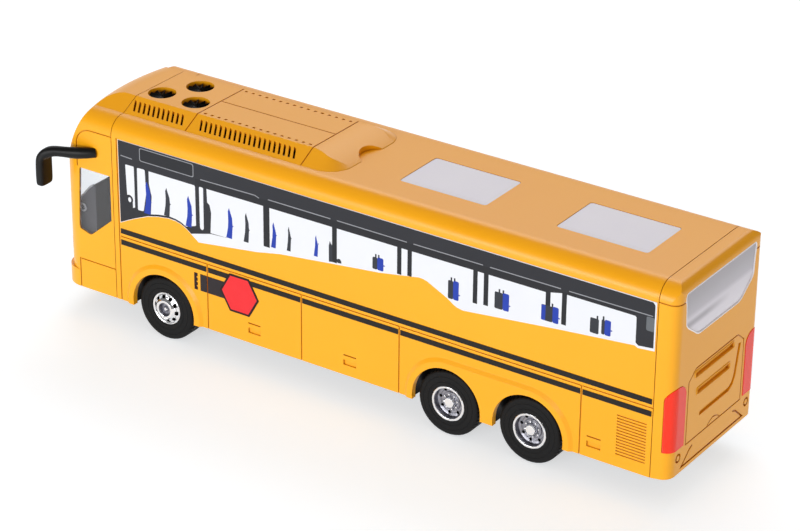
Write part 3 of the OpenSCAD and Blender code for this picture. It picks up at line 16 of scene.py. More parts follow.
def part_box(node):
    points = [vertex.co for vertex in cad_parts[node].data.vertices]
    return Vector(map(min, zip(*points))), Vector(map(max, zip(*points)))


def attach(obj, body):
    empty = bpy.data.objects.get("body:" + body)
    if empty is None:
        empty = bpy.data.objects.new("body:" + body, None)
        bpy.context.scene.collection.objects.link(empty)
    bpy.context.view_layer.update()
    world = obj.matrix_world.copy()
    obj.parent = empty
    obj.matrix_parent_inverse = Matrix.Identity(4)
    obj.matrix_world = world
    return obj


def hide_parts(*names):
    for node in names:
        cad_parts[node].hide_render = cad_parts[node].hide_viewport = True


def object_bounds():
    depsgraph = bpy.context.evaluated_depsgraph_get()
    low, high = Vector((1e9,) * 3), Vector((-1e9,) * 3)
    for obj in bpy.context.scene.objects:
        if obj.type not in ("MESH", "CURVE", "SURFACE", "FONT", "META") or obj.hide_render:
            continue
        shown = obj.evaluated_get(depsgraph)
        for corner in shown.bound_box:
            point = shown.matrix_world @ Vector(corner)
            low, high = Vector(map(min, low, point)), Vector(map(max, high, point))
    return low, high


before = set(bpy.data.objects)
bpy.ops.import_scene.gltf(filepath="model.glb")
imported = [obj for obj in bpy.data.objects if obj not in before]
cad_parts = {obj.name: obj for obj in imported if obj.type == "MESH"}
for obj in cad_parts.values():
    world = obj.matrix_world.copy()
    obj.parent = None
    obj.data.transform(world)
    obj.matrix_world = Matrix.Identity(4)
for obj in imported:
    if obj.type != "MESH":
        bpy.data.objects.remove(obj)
cad_low, cad_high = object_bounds()
print("solids:", len(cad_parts), "box in mm:", [round(1000 * s) for s in cad_high - cad_low])

# %% [markdown]
# ## Units and colours
# Blender works in metres and in linear light, while a maker measures in millimetres and picks
# colours as sRGB hex codes. Two small helpers do the translation everywhere below.

# %% Millimetres and hex colours
MM = 0.001


def linear(hex_code):
    """The linear colour, with full alpha, of an sRGB hex code."""
    shares = [int(hex_code[i:i + 2], 16) / 255 for i in (1, 3, 5)]
    return (*[s / 12.92 if s <= 0.04045 else ((s + 0.055) / 1.055) ** 2.4 for s in shares], 1.0)


def per_mm(size):
    """The texture scale that gives a pattern about this many millimetres across."""
    return 1 / (size * MM)


WHITE = linear("#FFFFFF")
print("coach yellow in linear light:", [round(c, 3) for c in linear("#F3A70A")[:3]])

# %% [markdown]
# ## The camera
# The picture was taken with a long lens from behind the left rear corner, a little above the roof.
# The place and direction were solved from points whose real positions are known, so the camera is
# written as a place, a direction and a slight roll instead of being nudged by eye.

# %% Camera
CAMERA_PLACE = Vector((-673.9, 992.8, 652.9)) * MM
CAMERA_LOOK = Vector((0.50001, -0.74196, -0.44664)).normalized()
CAMERA_ROLL = math.radians(0.543)
LENS_MM, SENSOR_MM = 131.27, 36.0

sideways = CAMERA_LOOK.cross(Vector((0, 0, 1))).normalized()
upright = sideways.cross(CAMERA_LOOK)
right = sideways * math.cos(CAMERA_ROLL) + upright * math.sin(CAMERA_ROLL)
above = upright * math.cos(CAMERA_ROLL) - sideways * math.sin(CAMERA_ROLL)
lens = bpy.data.cameras.new("portrait_lens")
lens.lens, lens.sensor_width, lens.sensor_fit = LENS_MM, SENSOR_MM, "HORIZONTAL"
camera = bpy.data.objects.new("portrait_camera", lens)
bpy.context.scene.collection.objects.link(camera)
turned = Matrix((right, above, -CAMERA_LOOK)).transposed().to_4x4()
camera.matrix_world = Matrix.Translation(CAMERA_PLACE) @ turned
bpy.context.scene.camera = camera
print("camera stands", round((CAMERA_PLACE - (cad_low + cad_high) / 2).length, 2), "m away")

# %% [markdown]
# ## One helper for shader nodes
# Every material below is a few nodes wired together. One function adds a node, sets its options
# and fills its sockets: a socket of another node is linked, anything else is a plain value.

# %% Node helper
COLOUR_A, COLOUR_B, COLOUR_OUT = 6, 7, 2  # the colour sockets of a Mix node


def node(tree, kind, inputs=None, **options):
    """Adds one shader node; inputs maps sockets to values or to the output they are fed from."""
    made = tree.nodes.new("ShaderNode" + kind)
    for name, value in options.items():
        setattr(made, name, value)
    for socket, value in (inputs or {}).items():
        if isinstance(value, bpy.types.NodeSocket):
            tree.links.new(value, made.inputs[socket])
        else:
            made.inputs[socket].default_value = value
    return made


# %% [markdown]
# ## Studio
# The coach stands on white paper in front of a white backdrop, in a tent of soft light. The tent
# looks white to the camera and through the panes, but it lights the coach at a lower, plain level,
# so that its yellow keeps its depth. A shiny skin mirrors the white backdrop behind the coach and
# a dimmer room on the near side, which is what makes plating look like metal.

# %% Tent of light
bpy.context.scene.view_settings.view_transform = "Standard"
TENT_FILL, TENT_TONE = 0.44, "#FFEEDA"
ROOM_DIM, BACKDROP = 0.2, 1.0
BACKDROP_WAY = (0.56, -0.83, 0.0)
BACKDROP_FADE = (0.6, 0.88)  # share of that way in a ray, where the white begins and is full

tent = bpy.data.worlds.new("light_tent")
bpy.context.scene.world = tent
tent.use_nodes = True
tree = tent.node_tree
tree.nodes.clear()
ray = node(tree, "LightPath").outputs
seen = node(tree, "Math", {0: ray["Is Camera Ray"], 1: ray["Is Transmission Ray"]},
            operation="MAXIMUM")
way = node(tree, "TexCoord").outputs["Generated"]
behind = node(tree, "VectorMath", {0: way, 1: BACKDROP_WAY}, operation="DOT_PRODUCT")
mirrored = node(tree, "MapRange", {"Value": behind.outputs["Value"],
                                   "From Min": BACKDROP_FADE[0], "From Max": BACKDROP_FADE[1],
                                   "To Min": ROOM_DIM, "To Max": BACKDROP})
fill = node(tree, "Background", {"Color": linear(TENT_TONE), "Strength": TENT_FILL})
room = node(tree, "Background", {"Color": WHITE, "Strength": mirrored.outputs[0]})
white = node(tree, "Background", {"Color": WHITE, "Strength": 1.0})
lit = node(tree, "MixShader", {0: ray["Is Glossy Ray"], 1: fill.outputs[0], 2: room.outputs[0]})
mixed = node(tree, "MixShader", {0: seen.outputs[0], 1: lit.outputs[0], 2: white.outputs[0]})
node(tree, "OutputWorld", {"Surface": mixed.outputs[0]})
print("tent fill", TENT_FILL, "backdrop", BACKDROP)

# %% [markdown]
# The floor is matt paper. Part of its white is a glow of its own, as on a sheet lit from below, so
# the coach's underside is lifted and its shadow stays soft. The tent's fill is slightly warm, so
# the paper is slightly cool and the two come out neutral.

# %% Paper floor
PAPER_TONE, PAPER_GLOW, PAPER_WIDTH = "#C8D4E2", 0.60, 9.0
PAPER_DROP = 0.2  # mm below the tyres, so that the two faces never coincide

paper = bpy.data.materials.new("matt_white_paper")
paper.use_nodes = True
tree = paper.node_tree
tree.nodes.clear()
matt = node(tree, "BsdfDiffuse", {"Color": linear(PAPER_TONE)})
glow = node(tree, "Emission", {"Color": WHITE, "Strength": PAPER_GLOW})
both = node(tree, "AddShader", {0: matt.outputs[0], 1: glow.outputs[0]})
node(tree, "OutputMaterial", {"Surface": both.outputs[0]})

sheet = bmesh.new()
bmesh.ops.create_grid(sheet, x_segments=2, y_segments=2, size=PAPER_WIDTH / 2)
floor_mesh = bpy.data.meshes.new("paper_floor")
sheet.to_mesh(floor_mesh)
sheet.free()
floor = bpy.data.objects.new("paper_floor", floor_mesh)
floor.location.z = -PAPER_DROP * MM
floor_mesh.materials.append(paper)
bpy.context.scene.collection.objects.link(floor)
print("paper floor", PAPER_WIDTH, "m wide")

# %% [markdown]
# Two soft boxes do the rest: a long low one facing the left flank, and a higher one beyond the
# coach for the roof. A lamp's place is given by the direction it shines from, so that its distance
# can change the softness without moving the shading round the coach.

# %% Lamps


def soft_lamp(name, towards, distance, width, height, watts):
    """A rectangular soft box that shines at the middle of the coach."""
    light = bpy.data.lights.new(name, "AREA")
    light.shape, light.size, light.size_y, light.energy = "RECTANGLE", width, height, watts
    lamp = bpy.data.objects.new(name, light)
    direction = Vector(towards).normalized()
    lamp.location = (cad_low + cad_high) / 2 + direction * distance
    lamp.rotation_mode = "QUATERNION"
    lamp.rotation_quaternion = direction.to_track_quat("Z", "Y")
    bpy.context.scene.collection.objects.link(lamp)


soft_lamp("flank_box", towards=(0.1, 1.0, 0.16), distance=1.5, width=1.4, height=0.42, watts=14.0)
soft_lamp("far_box", towards=(0.3, -0.8, 0.9), distance=1.6, width=1.4, height=0.8, watts=10.0)
print("lamps:", len(bpy.data.lights))

# %% [markdown]
# ## Finishes
# Plastics, films and plating differ in tone, gloss and grain, but each is uneven in the same three
# ways: its colour drifts a little, its gloss has cloudy patches and its skin carries a fine
# texture. One function makes such a surface, and each finish says what its real material gives
# the eye. Values that are the same all over stay on the shader's own sockets. A grain that is too
# fine to show, such as the tooth of ink or the lines on steel, is drawn as coarse as it must be.

# %% Surface recipe
RECESS_SKY = (0.3, 0.75)  # share of open sky at the bottom of a recess and outside it


def finish(name, tones, cloud_mm, gloss, grain_mm, lift_mm, edge_mm=0.0, recess_shade=None, sockets=None):
    """A material with two near tones in clouds, uneven gloss and a fine raised grain.

    recess_shade gives the tone painted as shade in deep recesses and how many millimetres wide a
    recess may be.
    """
    material = bpy.data.materials.new(name)
    material.use_nodes = True
    tree = material.node_tree
    surface = tree.nodes["Principled BSDF"]
    where = node(tree, "TexCoord").outputs["Object"]
    clouds = node(tree, "TexNoise", {"Vector": where, "Scale": per_mm(cloud_mm), "Detail": 2.0})
    colour = node(tree, "Mix", {0: clouds.outputs["Fac"], COLOUR_A: linear(tones[0]),
                                COLOUR_B: linear(tones[1])}, data_type="RGBA")
    # Painted shade: where ambient occlusion finds a recess, the colour turns towards the recess
    # tone.
    if recess_shade:
        open_sky = node(tree, "AmbientOcclusion", {"Distance": recess_shade[1] * MM}, samples=8)
        raised = node(tree, "MapRange", {"Value": open_sky.outputs["AO"],
                                         "From Min": RECESS_SKY[0], "From Max": RECESS_SKY[1]})
        colour = node(tree, "Mix", {0: raised.outputs[0], COLOUR_A: linear(recess_shade[0]),
                                    COLOUR_B: colour.outputs[COLOUR_OUT]}, data_type="RGBA")
    rough = node(tree, "MapRange", {"Value": clouds.outputs["Fac"], "To Min": gloss[0],
                                    "To Max": gloss[1]})
    grain = node(tree, "TexNoise", {"Vector": where, "Scale": per_mm(grain_mm), "Detail": 1.0})
    bump = node(tree, "Bump", {"Height": grain.outputs["Fac"], "Distance": lift_mm * MM})
    if edge_mm:
        edge = node(tree, "Bevel", {"Radius": edge_mm * MM}, samples=4)
        tree.links.new(edge.outputs[0], bump.inputs["Normal"])
    tree.links.new(colour.outputs[COLOUR_OUT], surface.inputs["Base Color"])
    tree.links.new(rough.outputs[0], surface.inputs["Roughness"])
    tree.links.new(bump.outputs[0], surface.inputs["Normal"])
    for socket, value in (sockets or {}).items():
        surface.inputs[socket].default_value = value
    print("finish:", name)
    return material


# %% [markdown]
# ### Yellow ABS
# The shell, caps and roof pod are injection-moulded ABS in one warm yellow. The mould is polished,
# so the skin has a satin gloss with a faint orange peel, and every edge keeps a small radius that
# catches the light. In grooves and slots a deeper orange is painted in as shade.

# %% Yellow ABS
# Painted shade: grooves and slots turn a deeper orange.
yellow_abs = finish("yellow_abs_moulded", ("#F3A70A", "#F5AD10"), cloud_mm=45, gloss=(0.26, 0.34),
                    grain_mm=1.1, lift_mm=0.012, edge_mm=0.35, recess_shade=("#C8740A", 2.2),
                    sockets={"IOR": 1.53, "Specular IOR Level": 0.36})

# %% [markdown]
# ### Black ABS and dark inner mouldings
# Mirrors and chassis are moulded ABS pigmented with carbon black. It looks almost featureless, so
# its shape shows only through highlights on a slightly softer skin. The plate under the roof pod is
# given a brown black as painted shade, for the warm dark inside the slots above it. The dashboard
# is dark grey from a grained mould, which takes its shine away.

# %% Black, brown and grey ABS
black_abs = finish("black_abs_moulded", ("#0A0A0B", "#0F0F10"), cloud_mm=20, gloss=(0.36, 0.46),
                   grain_mm=0.9, lift_mm=0.015, edge_mm=0.3,
                   sockets={"IOR": 1.53, "Specular IOR Level": 0.22})
# Painted shade: the brown in this black stands for the warm shade inside the pod's slots.
liner_abs = finish("brown_black_abs_painted_shade", ("#2E0F04", "#381407"), cloud_mm=12,
                   gloss=(0.42, 0.55), grain_mm=0.9, lift_mm=0.015, edge_mm=0.3,
                   sockets={"IOR": 1.53, "Specular IOR Level": 0.2})
dash_abs = finish("grey_abs_grained", ("#36333A", "#434047"), cloud_mm=14, gloss=(0.45, 0.6),
                  grain_mm=0.6, lift_mm=0.03, edge_mm=0.3, sockets={"IOR": 1.53})

# %% [markdown]
# ### Panes
# The cab panes are clear moulded polystyrene, thin enough to see the dashboard through. Skylights
# and the rear window are the same resin with a white filler, which scatters light into an even,
# slightly bluish white.

# %% Clear and milky polystyrene
clear_pane = finish("clear_polystyrene_moulded", ("#F4F6F8", "#FFFFFF"), cloud_mm=30,
                    gloss=(0.02, 0.05), grain_mm=6.0, lift_mm=0.004,
                    sockets={"IOR": 1.49, "Transmission Weight": 1.0})
milky_pane = finish("milky_polystyrene_moulded", ("#E2E5FA", "#E7EAFC"), cloud_mm=25,
                    gloss=(0.18, 0.26), grain_mm=3.0, lift_mm=0.006,
                    sockets={"IOR": 1.49, "Subsurface Weight": 0.15,
                             "Subsurface Radius": (0.003, 0.003, 0.0035)})

# %% [markdown]
# The headlamps are the same clear resin, silvered on the back, so they return a soft metallic white
# broken up by the fine pattern of the lens.

# %% Silvered headlamp lens
silvered_lens = finish("clear_polystyrene_silvered", ("#BFC4CB", "#DDE0E5"), cloud_mm=3,
                       gloss=(0.16, 0.3), grain_mm=1.4, lift_mm=0.12,
                       sockets={"Metallic": 0.7, "Coat Weight": 1.0, "Coat Roughness": 0.04})

# %% [markdown]
# The rear window has a ledge moulded along its inside. The upper half is painted greyer than the
# lower one as shade from inside the coach, and a soft painted shadow streak marks the ledge, fading
# to one side. Heights are shares of the window's own height.

# %% Rear window with its ledge
# Painted shade: the pane darkens towards its top and carries a painted shadow streak at the ledge.
LEDGE_SHADE_TONES = [(0.0, "#EFEEFA"), (0.20, "#E6E4F0"), (0.42, "#DEDCE8"), (0.52, "#C0BEC9"),
               (0.75, "#B0AEB7"), (1.0, "#A6A2AA")]
STREAK_RISE, STREAK_HALF, STREAK_SHADOW_TONE = 0.33, 0.11, "#A5A2AC"
STREAK_FROM, STREAK_TO, STREAK_DEPTH = -10, 12, 0.85  # mm across the window, share at full depth

painted_shade_pane = finish("milky_polystyrene_painted_shade", ("#D2CFD9", "#DAD7E1"), cloud_mm=25,
                    gloss=(0.18, 0.26), grain_mm=3.0, lift_mm=0.006, sockets={"IOR": 1.49})
tree = painted_shade_pane.node_tree
window_low, window_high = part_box("rear_window")
spot = node(tree, "SeparateXYZ", {0: node(tree, "TexCoord").outputs["Object"]}).outputs
rise = node(tree, "MapRange", {"Value": spot["Z"], "From Min": window_low.z,
                               "From Max": window_high.z})
bands = node(tree, "ValToRGB", {"Fac": rise.outputs[0]})
while len(bands.color_ramp.elements) < len(LEDGE_SHADE_TONES):
    bands.color_ramp.elements.new(0.5)
for stop, (share, tone) in zip(bands.color_ramp.elements, LEDGE_SHADE_TONES):
    stop.position, stop.color = share, linear(tone)
off_streak = node(tree, "Math", {0: rise.outputs[0], 1: STREAK_RISE}, operation="SUBTRACT")
off_streak = node(tree, "Math", {0: off_streak.outputs[0]}, operation="ABSOLUTE")
streak = node(tree, "MapRange", {"Value": off_streak.outputs[0], "From Min": STREAK_HALF,
                                 "From Max": 0.0}, interpolation_type="SMOOTHSTEP")
fade = node(tree, "MapRange", {"Value": spot["Y"], "From Min": STREAK_FROM * MM,
                               "From Max": STREAK_TO * MM, "To Max": STREAK_DEPTH})
streak = node(tree, "Math", {0: streak.outputs[0], 1: fade.outputs[0]}, operation="MULTIPLY")
shaded = node(tree, "Mix", {0: streak.outputs[0], COLOUR_A: bands.outputs[0],
                            COLOUR_B: linear(STREAK_SHADOW_TONE)}, data_type="RGBA")
tree.links.new(shaded.outputs[COLOUR_OUT], tree.nodes["Principled BSDF"].inputs["Base Color"])
print("ledge tones:", len(LEDGE_SHADE_TONES))

# %% [markdown]
# ### Red lenses
# The tail lamps are red moulded polystyrene over a pale pocket. Light enters, scatters and comes
# back a little orange, under a smooth and glossy skin.

# %% Red polystyrene
red_lens = finish("red_polystyrene_moulded", ("#FF3614", "#F82E14"), cloud_mm=12,
                  gloss=(0.12, 0.2), grain_mm=2.0, lift_mm=0.01,
                  sockets={"IOR": 1.55, "Specular IOR Level": 0.3, "Subsurface Weight": 0.2,
                           "Subsurface Radius": (0.004, 0.0008, 0.0006)})

# %% [markdown]
# ### Printed vinyl
# Windows, stripes and the swing-out sign are vinyl films with ink on them. Ink lies dead flat and
# dries to a silky gloss; only a slight cloudiness in the tone tells it from painted plastic.

# %% Film and inks
SILKY = {"Specular IOR Level": 0.25}
vinyl_white = finish("white_vinyl_film", ("#DCE0E8", "#E1E5ED"), cloud_mm=18, gloss=(0.3, 0.4),
                     grain_mm=0.8, lift_mm=0.004, sockets=SILKY)


def ink(tone_name, tones, cloud_mm):
    """A printed ink: every colour dries to the same silky skin."""
    return finish("printed_ink_" + tone_name, tones, cloud_mm, gloss=(0.34, 0.44), grain_mm=0.8,
                  lift_mm=0.004, sockets=SILKY)


INKS = {"film": vinyl_white,
        "header": ink("charcoal", ("#25262C", "#2A2B31"), 22),
        "frame": ink("dark_charcoal", ("#1F2025", "#24252A"), 16),
        "line": ink("pale_grey", ("#85888F", "#95989F"), 9),
        "blue": ink("blue", ("#1B369C", "#2340AE"), 5),
        "seat": ink("slate", ("#2B2D35", "#33373F"), 6),
        "smoke": ink("smoke_grey", ("#5C6167", "#686D73"), 8)}
SIGN_INKS = {"edge": ink("maroon", ("#1C070A", "#240A0E"), 7),
             "field": ink("signal_red", ("#E2272E", "#E62F36"), 7),
             "arm": ink("plum_grey", ("#231D21", "#2A2428"), 7)}
stripe_ink = ink("brown_black", ("#171412", "#1C1917"), 10)

# %% [markdown]
# ### Wheels and drive
# Tyres are soft moulded PVC with a matt bloom. Hubs are ABS with a bright chrome plate, so the
# bright parts take their tone from what they mirror; dishes and recesses wear a darker grey copy of
# the plate as painted shade.
# Axles and screws are drawn steel, and the gears are natural white acetal with a waxy surface.

# %% PVC, chrome plate, steel and acetal
tyre_pvc = finish("black_pvc_moulded", ("#0E0E0F", "#131314"), cloud_mm=8, gloss=(0.5, 0.62),
                  grain_mm=0.5, lift_mm=0.03, edge_mm=0.25,
                  sockets={"IOR": 1.52, "Specular IOR Level": 0.16})
chrome_plate = finish("chrome_plate_bright", ("#EEEFF2", "#F8F8FA"), cloud_mm=6,
                      gloss=(0.10, 0.18), grain_mm=1.5, lift_mm=0.006, edge_mm=0.15,
                      sockets={"Metallic": 1.0})
# Painted shade: a darker copy of the plate for hub dishes and recesses, darker still deep in a
# recess.
chrome_shade = finish("chrome_plate_painted_shade", ("#8E8E97", "#A2A2AA"), cloud_mm=3,
                      gloss=(0.30, 0.42), grain_mm=0.8, lift_mm=0.02, edge_mm=0.15,
                      recess_shade=("#4C4C52", 2.2), sockets={"Metallic": 1.0})
drawn_steel = finish("steel_drawn", ("#A9ABAF", "#BDBFC3"), cloud_mm=4, gloss=(0.25, 0.38),
                     grain_mm=0.3, lift_mm=0.01, sockets={"Metallic": 1.0})
white_acetal = finish("white_acetal_moulded", ("#E6E3D8", "#EEEBE2"), cloud_mm=6,
                      gloss=(0.35, 0.45), grain_mm=0.7, lift_mm=0.01, edge_mm=0.15,
                      sockets={"IOR": 1.48, "Subsurface Weight": 0.1,
                               "Subsurface Radius": (0.002, 0.002, 0.002)})

# %% [markdown]
# ## Dress the solids
# Each solid takes the finish of its real material. The record already says which finish a solid
# belongs to, so the names only need to be sorted into groups.

# %% Finishes on the solids
WHEELS = [(axle, side) for axle in ("front", "middle", "rear") for side in ("left", "right")]
dressed = {
    yellow_abs: ["body_shell", "front_cap", "rear_cap", "roof_pod"],
    black_abs: ["mirror_left", "mirror_right", "chassis", "drive_case", "drive_cover"],
    liner_abs: ["pod_liner"],
    dash_abs: ["dashboard"],
    clear_pane: ["windscreen", "cab_window_left", "cab_window_right"],
    silvered_lens: ["headlamp_left", "headlamp_right"],
    milky_pane: ["skylight_front", "skylight_rear"],
    painted_shade_pane: ["rear_window"],
    red_lens: ["tail_lamp_left", "tail_lamp_right"],
    vinyl_white: ["window_sticker_left", "window_sticker_right"],
    stripe_ink: ["stripes_left", "stripes_right"],
    SIGN_INKS["arm"]: ["stop_sign"],
    tyre_pvc: [f"{axle}_tyre_{side}" for axle, side in WHEELS],
    chrome_plate: [f"{axle}_hub_{side}" for axle, side in WHEELS],
    drawn_steel: ["front_axle", "middle_axle", "rear_axle", "idler_pin", "flywheel_shaft",
                  "flywheel", "chassis_screws", "drive_screws"],
    white_acetal: ["axle_gear", "idler_gear", "flywheel_pinion"],
}
for material, names in dressed.items():
    for name in names:
        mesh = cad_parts[name].data
        mesh.materials.clear()
        mesh.materials.append(material)
bare = set(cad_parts) - {name for names in dressed.values() for name in names}
print("dressed:", len(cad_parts) - len(bare), "left bare:", sorted(bare))

# %% [markdown]
# ## From net to piece
# All new pieces are made as a net of faces first. One helper turns the net into a mesh with its
# finishes. Another places it: a piece says which moving body carries it and, where it is drawn
# finer than a solid, which solid it stands for.

# %% Piece helpers
SIDES = [("left", 1), ("right", -1)]


def made_mesh(net, name, materials, sharp_degrees=None):
    """The mesh of a net: flat faces, or smooth ones with creases above an angle."""
    bmesh.ops.recalc_face_normals(net, faces=net.faces[:])
    mesh = bpy.data.meshes.new(name)
    net.to_mesh(mesh)
    net.free()
    for material in materials:
        mesh.materials.append(material)
    if sharp_degrees:
        mesh.shade_smooth()
        mesh.set_sharp_from_angle(angle=math.radians(sharp_degrees))
    return mesh


def place(mesh, name, body, solid=None, seat=None):
    """Adds a piece that rides a body; a seat moves it from the origin to its place first."""
    piece = bpy.data.objects.new(name, mesh)
    bpy.context.scene.collection.objects.link(piece)
    if seat:
        piece.matrix_world = seat
    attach(piece, body)
    if solid:
        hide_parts(solid)


# %% [markdown]
# ## Flat printed shapes
# A print is many overlapping outlines on one film. The outlines are lists of points in millimetres,
# along the coach and up, so a few helpers draw the usual ones: boxes, lines and round corners.

# %% Outline helpers


def angles(steps):
    """Evenly spaced angles once round a circle."""
    return [i / steps * 2 * math.pi for i in range(steps)]


def oblong(x0, x1, z0, z1):
    """The outline of a box from its two ends and its two heights."""
    return [(x0, z0), (x1, z0), (x1, z1), (x0, z1)]


def rounded(outline, radius, steps=4):
    """The outline with its corners cut by arcs, drawn as quadratic curves through the corner."""
    smooth = []
    for before, corner, after in zip(outline[-1:] + outline[:-1], outline,
                                     outline[1:] + outline[:1]):
        c = Vector(corner)
        arms = [Vector(before) - c, Vector(after) - c]
        start, end = [c + arm.normalized() * min(radius, arm.length / 2) for arm in arms]
        for i in range(steps + 1):
            t = i / steps
            smooth.append(tuple(start * (1 - t) ** 2 + c * 2 * t * (1 - t) + end * t * t))
    return smooth


def ribbon(path, width):
    """The outline of a line of this width along a path."""
    spots = [Vector(p) for p in path]
    ways = [(b - a).normalized() for a, b in zip(spots, spots[1:])]
    ways = [ways[0]] + [(a + b).normalized() for a, b in zip(ways, ways[1:])] + [ways[-1]]
    sides = [Vector((-w.y, w.x)) * width / 2 for w in ways]
    return [tuple(p + s) for p, s in zip(spots, sides)] + \
        [tuple(p - s) for p, s in zip(reversed(spots), reversed(sides))]


print("a rounded box has", len(rounded(oblong(0, 9, 0, 9), 1)), "points")

# %% [markdown]
# Stacking the outlines as separate sheets would leave slivers of shadow. So all of them are cut
# into one flat net of triangles, and each triangle takes the ink that was printed last over it.
# The net then gets a hair of thickness, with a rim along every open edge.

# %% Printing helper
FILL_INSIDE, MERGE_MM = 1, 1e-5  # the net covers the insides of outlines; nearer points become one


def counter_clockwise(outline):
    """The outline in the turning direction that the net needs."""
    turns = sum(a[0] * b[1] - b[0] * a[1] for a, b in zip(outline, outline[1:] + outline[:1]))
    return outline if turns > 0 else outline[::-1]


def printed(name, layers, inks, mark_mm, back_mm, thick_mm, side):
    """One film of ink in the flank's plane: layers are (ink, outline in mm), the last on top."""
    spots, loops = [], []
    for _, outline in layers:
        loops.append(list(range(len(spots), len(spots) + len(outline))))
        spots += [Vector(p) for p in counter_clockwise(outline)]
    points, _, cells, _, _, sources = delaunay_2d_cdt(spots, [], loops, FILL_INSIDE, MERGE_MM)
    net = bmesh.new()
    edges = {}
    rows = [[net.verts.new(((mark_mm + p.x) * MM, side * (back_mm + t) * MM, p.y * MM))
             for p in points] for t in (0, thick_mm)]
    ink_order = list(inks)
    for cell, source in zip(cells, sources):
        if not source:
            continue
        for row in rows:
            face = net.faces.new([row[i] for i in cell])
            face.material_index = ink_order.index(layers[max(source)][0])
        for a, b in zip(cell, cell[1:] + cell[:1]):
            edges.setdefault(frozenset((a, b)), []).append((a, b, face.material_index))
    for used in edges.values():
        if len(used) == 1:
            a, b, ink_index = used[0]
            rim = net.faces.new([rows[0][a], rows[0][b], rows[1][b], rows[1][a]])
            rim.material_index = ink_index
    bmesh.ops.delete(net, geom=[v for v in net.verts if not v.link_faces], context="VERTS")
    return made_mesh(net, name, inks.values())


# %% [markdown]
# ## The window print
# The long windows are one print: a charcoal header with a pale line along it, dark pillars, and
# white panes with rows of seats in blue and slate. The white film below the panes stays bare. The
# sizes are millimetres along and above the coach, read off the picture through the solved camera.

# %% Pillars, panes and header
TOP, HEADER_LOW, REAR_LOW = 97.65, 86.4, 88.7
prints = [
    ("header", [(127.2, TOP), (60, TOP), (60, 64.7), (73.5, 63.9), (85.0, 60.8), (87.9, 62.8),
                (90.8, 64.2), (94, 65.0), (98, 65.2), (104.3, 64.3), (110.7, 62.7),
                (119.3, 59.1), (127.2, 55.2)]),
    ("header", [(60.5, TOP), (-159.4, TOP - 0.2), (-160.5, 96.2), (-160.5, 76.0), (-153.2, 75.2),
                (-151.9, 76.3), (-151.8, REAR_LOW - 0.6), (-151.2, REAR_LOW), (-115, REAR_LOW),
                (-107, HEADER_LOW + 0.5), (60.5, HEADER_LOW)]),
    ("frame", [(82, 89.8), (-114, 90.4), (-114, REAR_LOW), (-107, HEADER_LOW + 0.5),
               (82, HEADER_LOW)]),
    ("frame", oblong(-151, -118, REAR_LOW, 90.4)),
]
for x0, x1, z0 in [(43.1, 39.6, 66.3), (4.8, 2.2, 69.2), (-30.4, -32.7, 73.5),
                   (-35.9, -38.2, 74.1), (-70.3, -72.6, 70.9), (-75.8, -78.2, 71.5),
                   (-107.2, -109.6, 73.4), (-115.3, -117.7, 73.9)]:
    prints.append(("frame", oblong(x1, x0, z0, REAR_LOW + 1.0)))
prints += [
    ("film", rounded([(123.2, 86.1), (118.1, 86.2), (118.1, 65.0), (119.8, 64.5),
                      (122.6, 69.5)], 0.7)),
    ("film", rounded([(116.2, 86.2), (111.6, 86.3), (111.2, 74), (113.0, 64.6),
                      (116.4, 64.4)], 0.7)),
    ("film", [(109.3, 86.2), (82.5, 86.2), (82.1, 85.6), (82.0, 66), (82.5, 65.4), (84.4, 64.9),
              (87.9, 63.6), (90.8, 65.1), (94, 65.9), (98, 66.2), (104.3, 65.3), (108.7, 64.2),
              (107.9, 73.7), (109.3, 79.5)]),
    ("film", rounded([(79.8, 86.3), (77.4, 86.3), (77.5, 65.2), (78.6, 64.3), (79.7, 65.2)],
                     0.8)),
    ("film", [(75.4, 86.3), (43.1, 86.5), (43.1, 66.3), (60, 64.6), (73.6, 64.3), (73.0, 74.8),
              (73.8, 78.4), (75.2, 79.6)]),
]
print("outlines so far:", len(prints))

# %% [markdown]
# Seats near the cab are slim profiles, all of one shape that is stretched to each seat's foot and
# height. Edges are given as shares of the foot's width and millimetres above its foot or head.

# %% Slim seats
SEAT_FRONT = [(1, 0), (0.45, 5), (0.3, 9)]
SEAT_HEAD = [(0.4, -1), (0, 0.9), (-0.25, -0.6), (-0.9, -4)]
SEAT_BACK = [(-1, 7), (-1.35, 6.6), (-1, 6.2), (-0.75, 0)]
for tone, foot, x, z0, z1 in [("blue", 2.1, 110.6, 63.9, 79.6), ("seat", 1.9, 99.0, 66.0, 79.6),
                              ("blue", 2.0, 86.2, 64.0, 79.0), ("blue", 1.9, 62.6, 64.7, 79.3),
                              ("seat", 1.6, 52.9, 65.4, 79.5), ("blue", 1.5, 37.4, 67.0, 79.0),
                              ("seat", 1.2, 28.8, 67.8, 79.2), ("blue", 1.2, 13.7, 69.4, 79.2)]:
    prints.append((tone, [(x + share * foot, base + rise)
                          for edge, base in [(SEAT_FRONT, z0), (SEAT_HEAD, z1), (SEAT_BACK, z0)]
                          for share, rise in edge]))
prints += [("seat", [(6.6, 68.9), (6.6, 77), (6.0, 79.4), (5.4, 78), (4.6, 77.4), (4.6, 69.2)]),
           ("seat", rounded([(2.2, 69.5), (2.2, 71.6), (0.4, 71.9), (-0.6, 69.8)], 0.8))]
print("outlines with the slim seats:", len(prints))

# %% [markdown]
# Seats further back are pairs seen from the side: a slate one in front of a blue one, each with a
# thin head-rest post and the blue one with a short arm rest behind it.

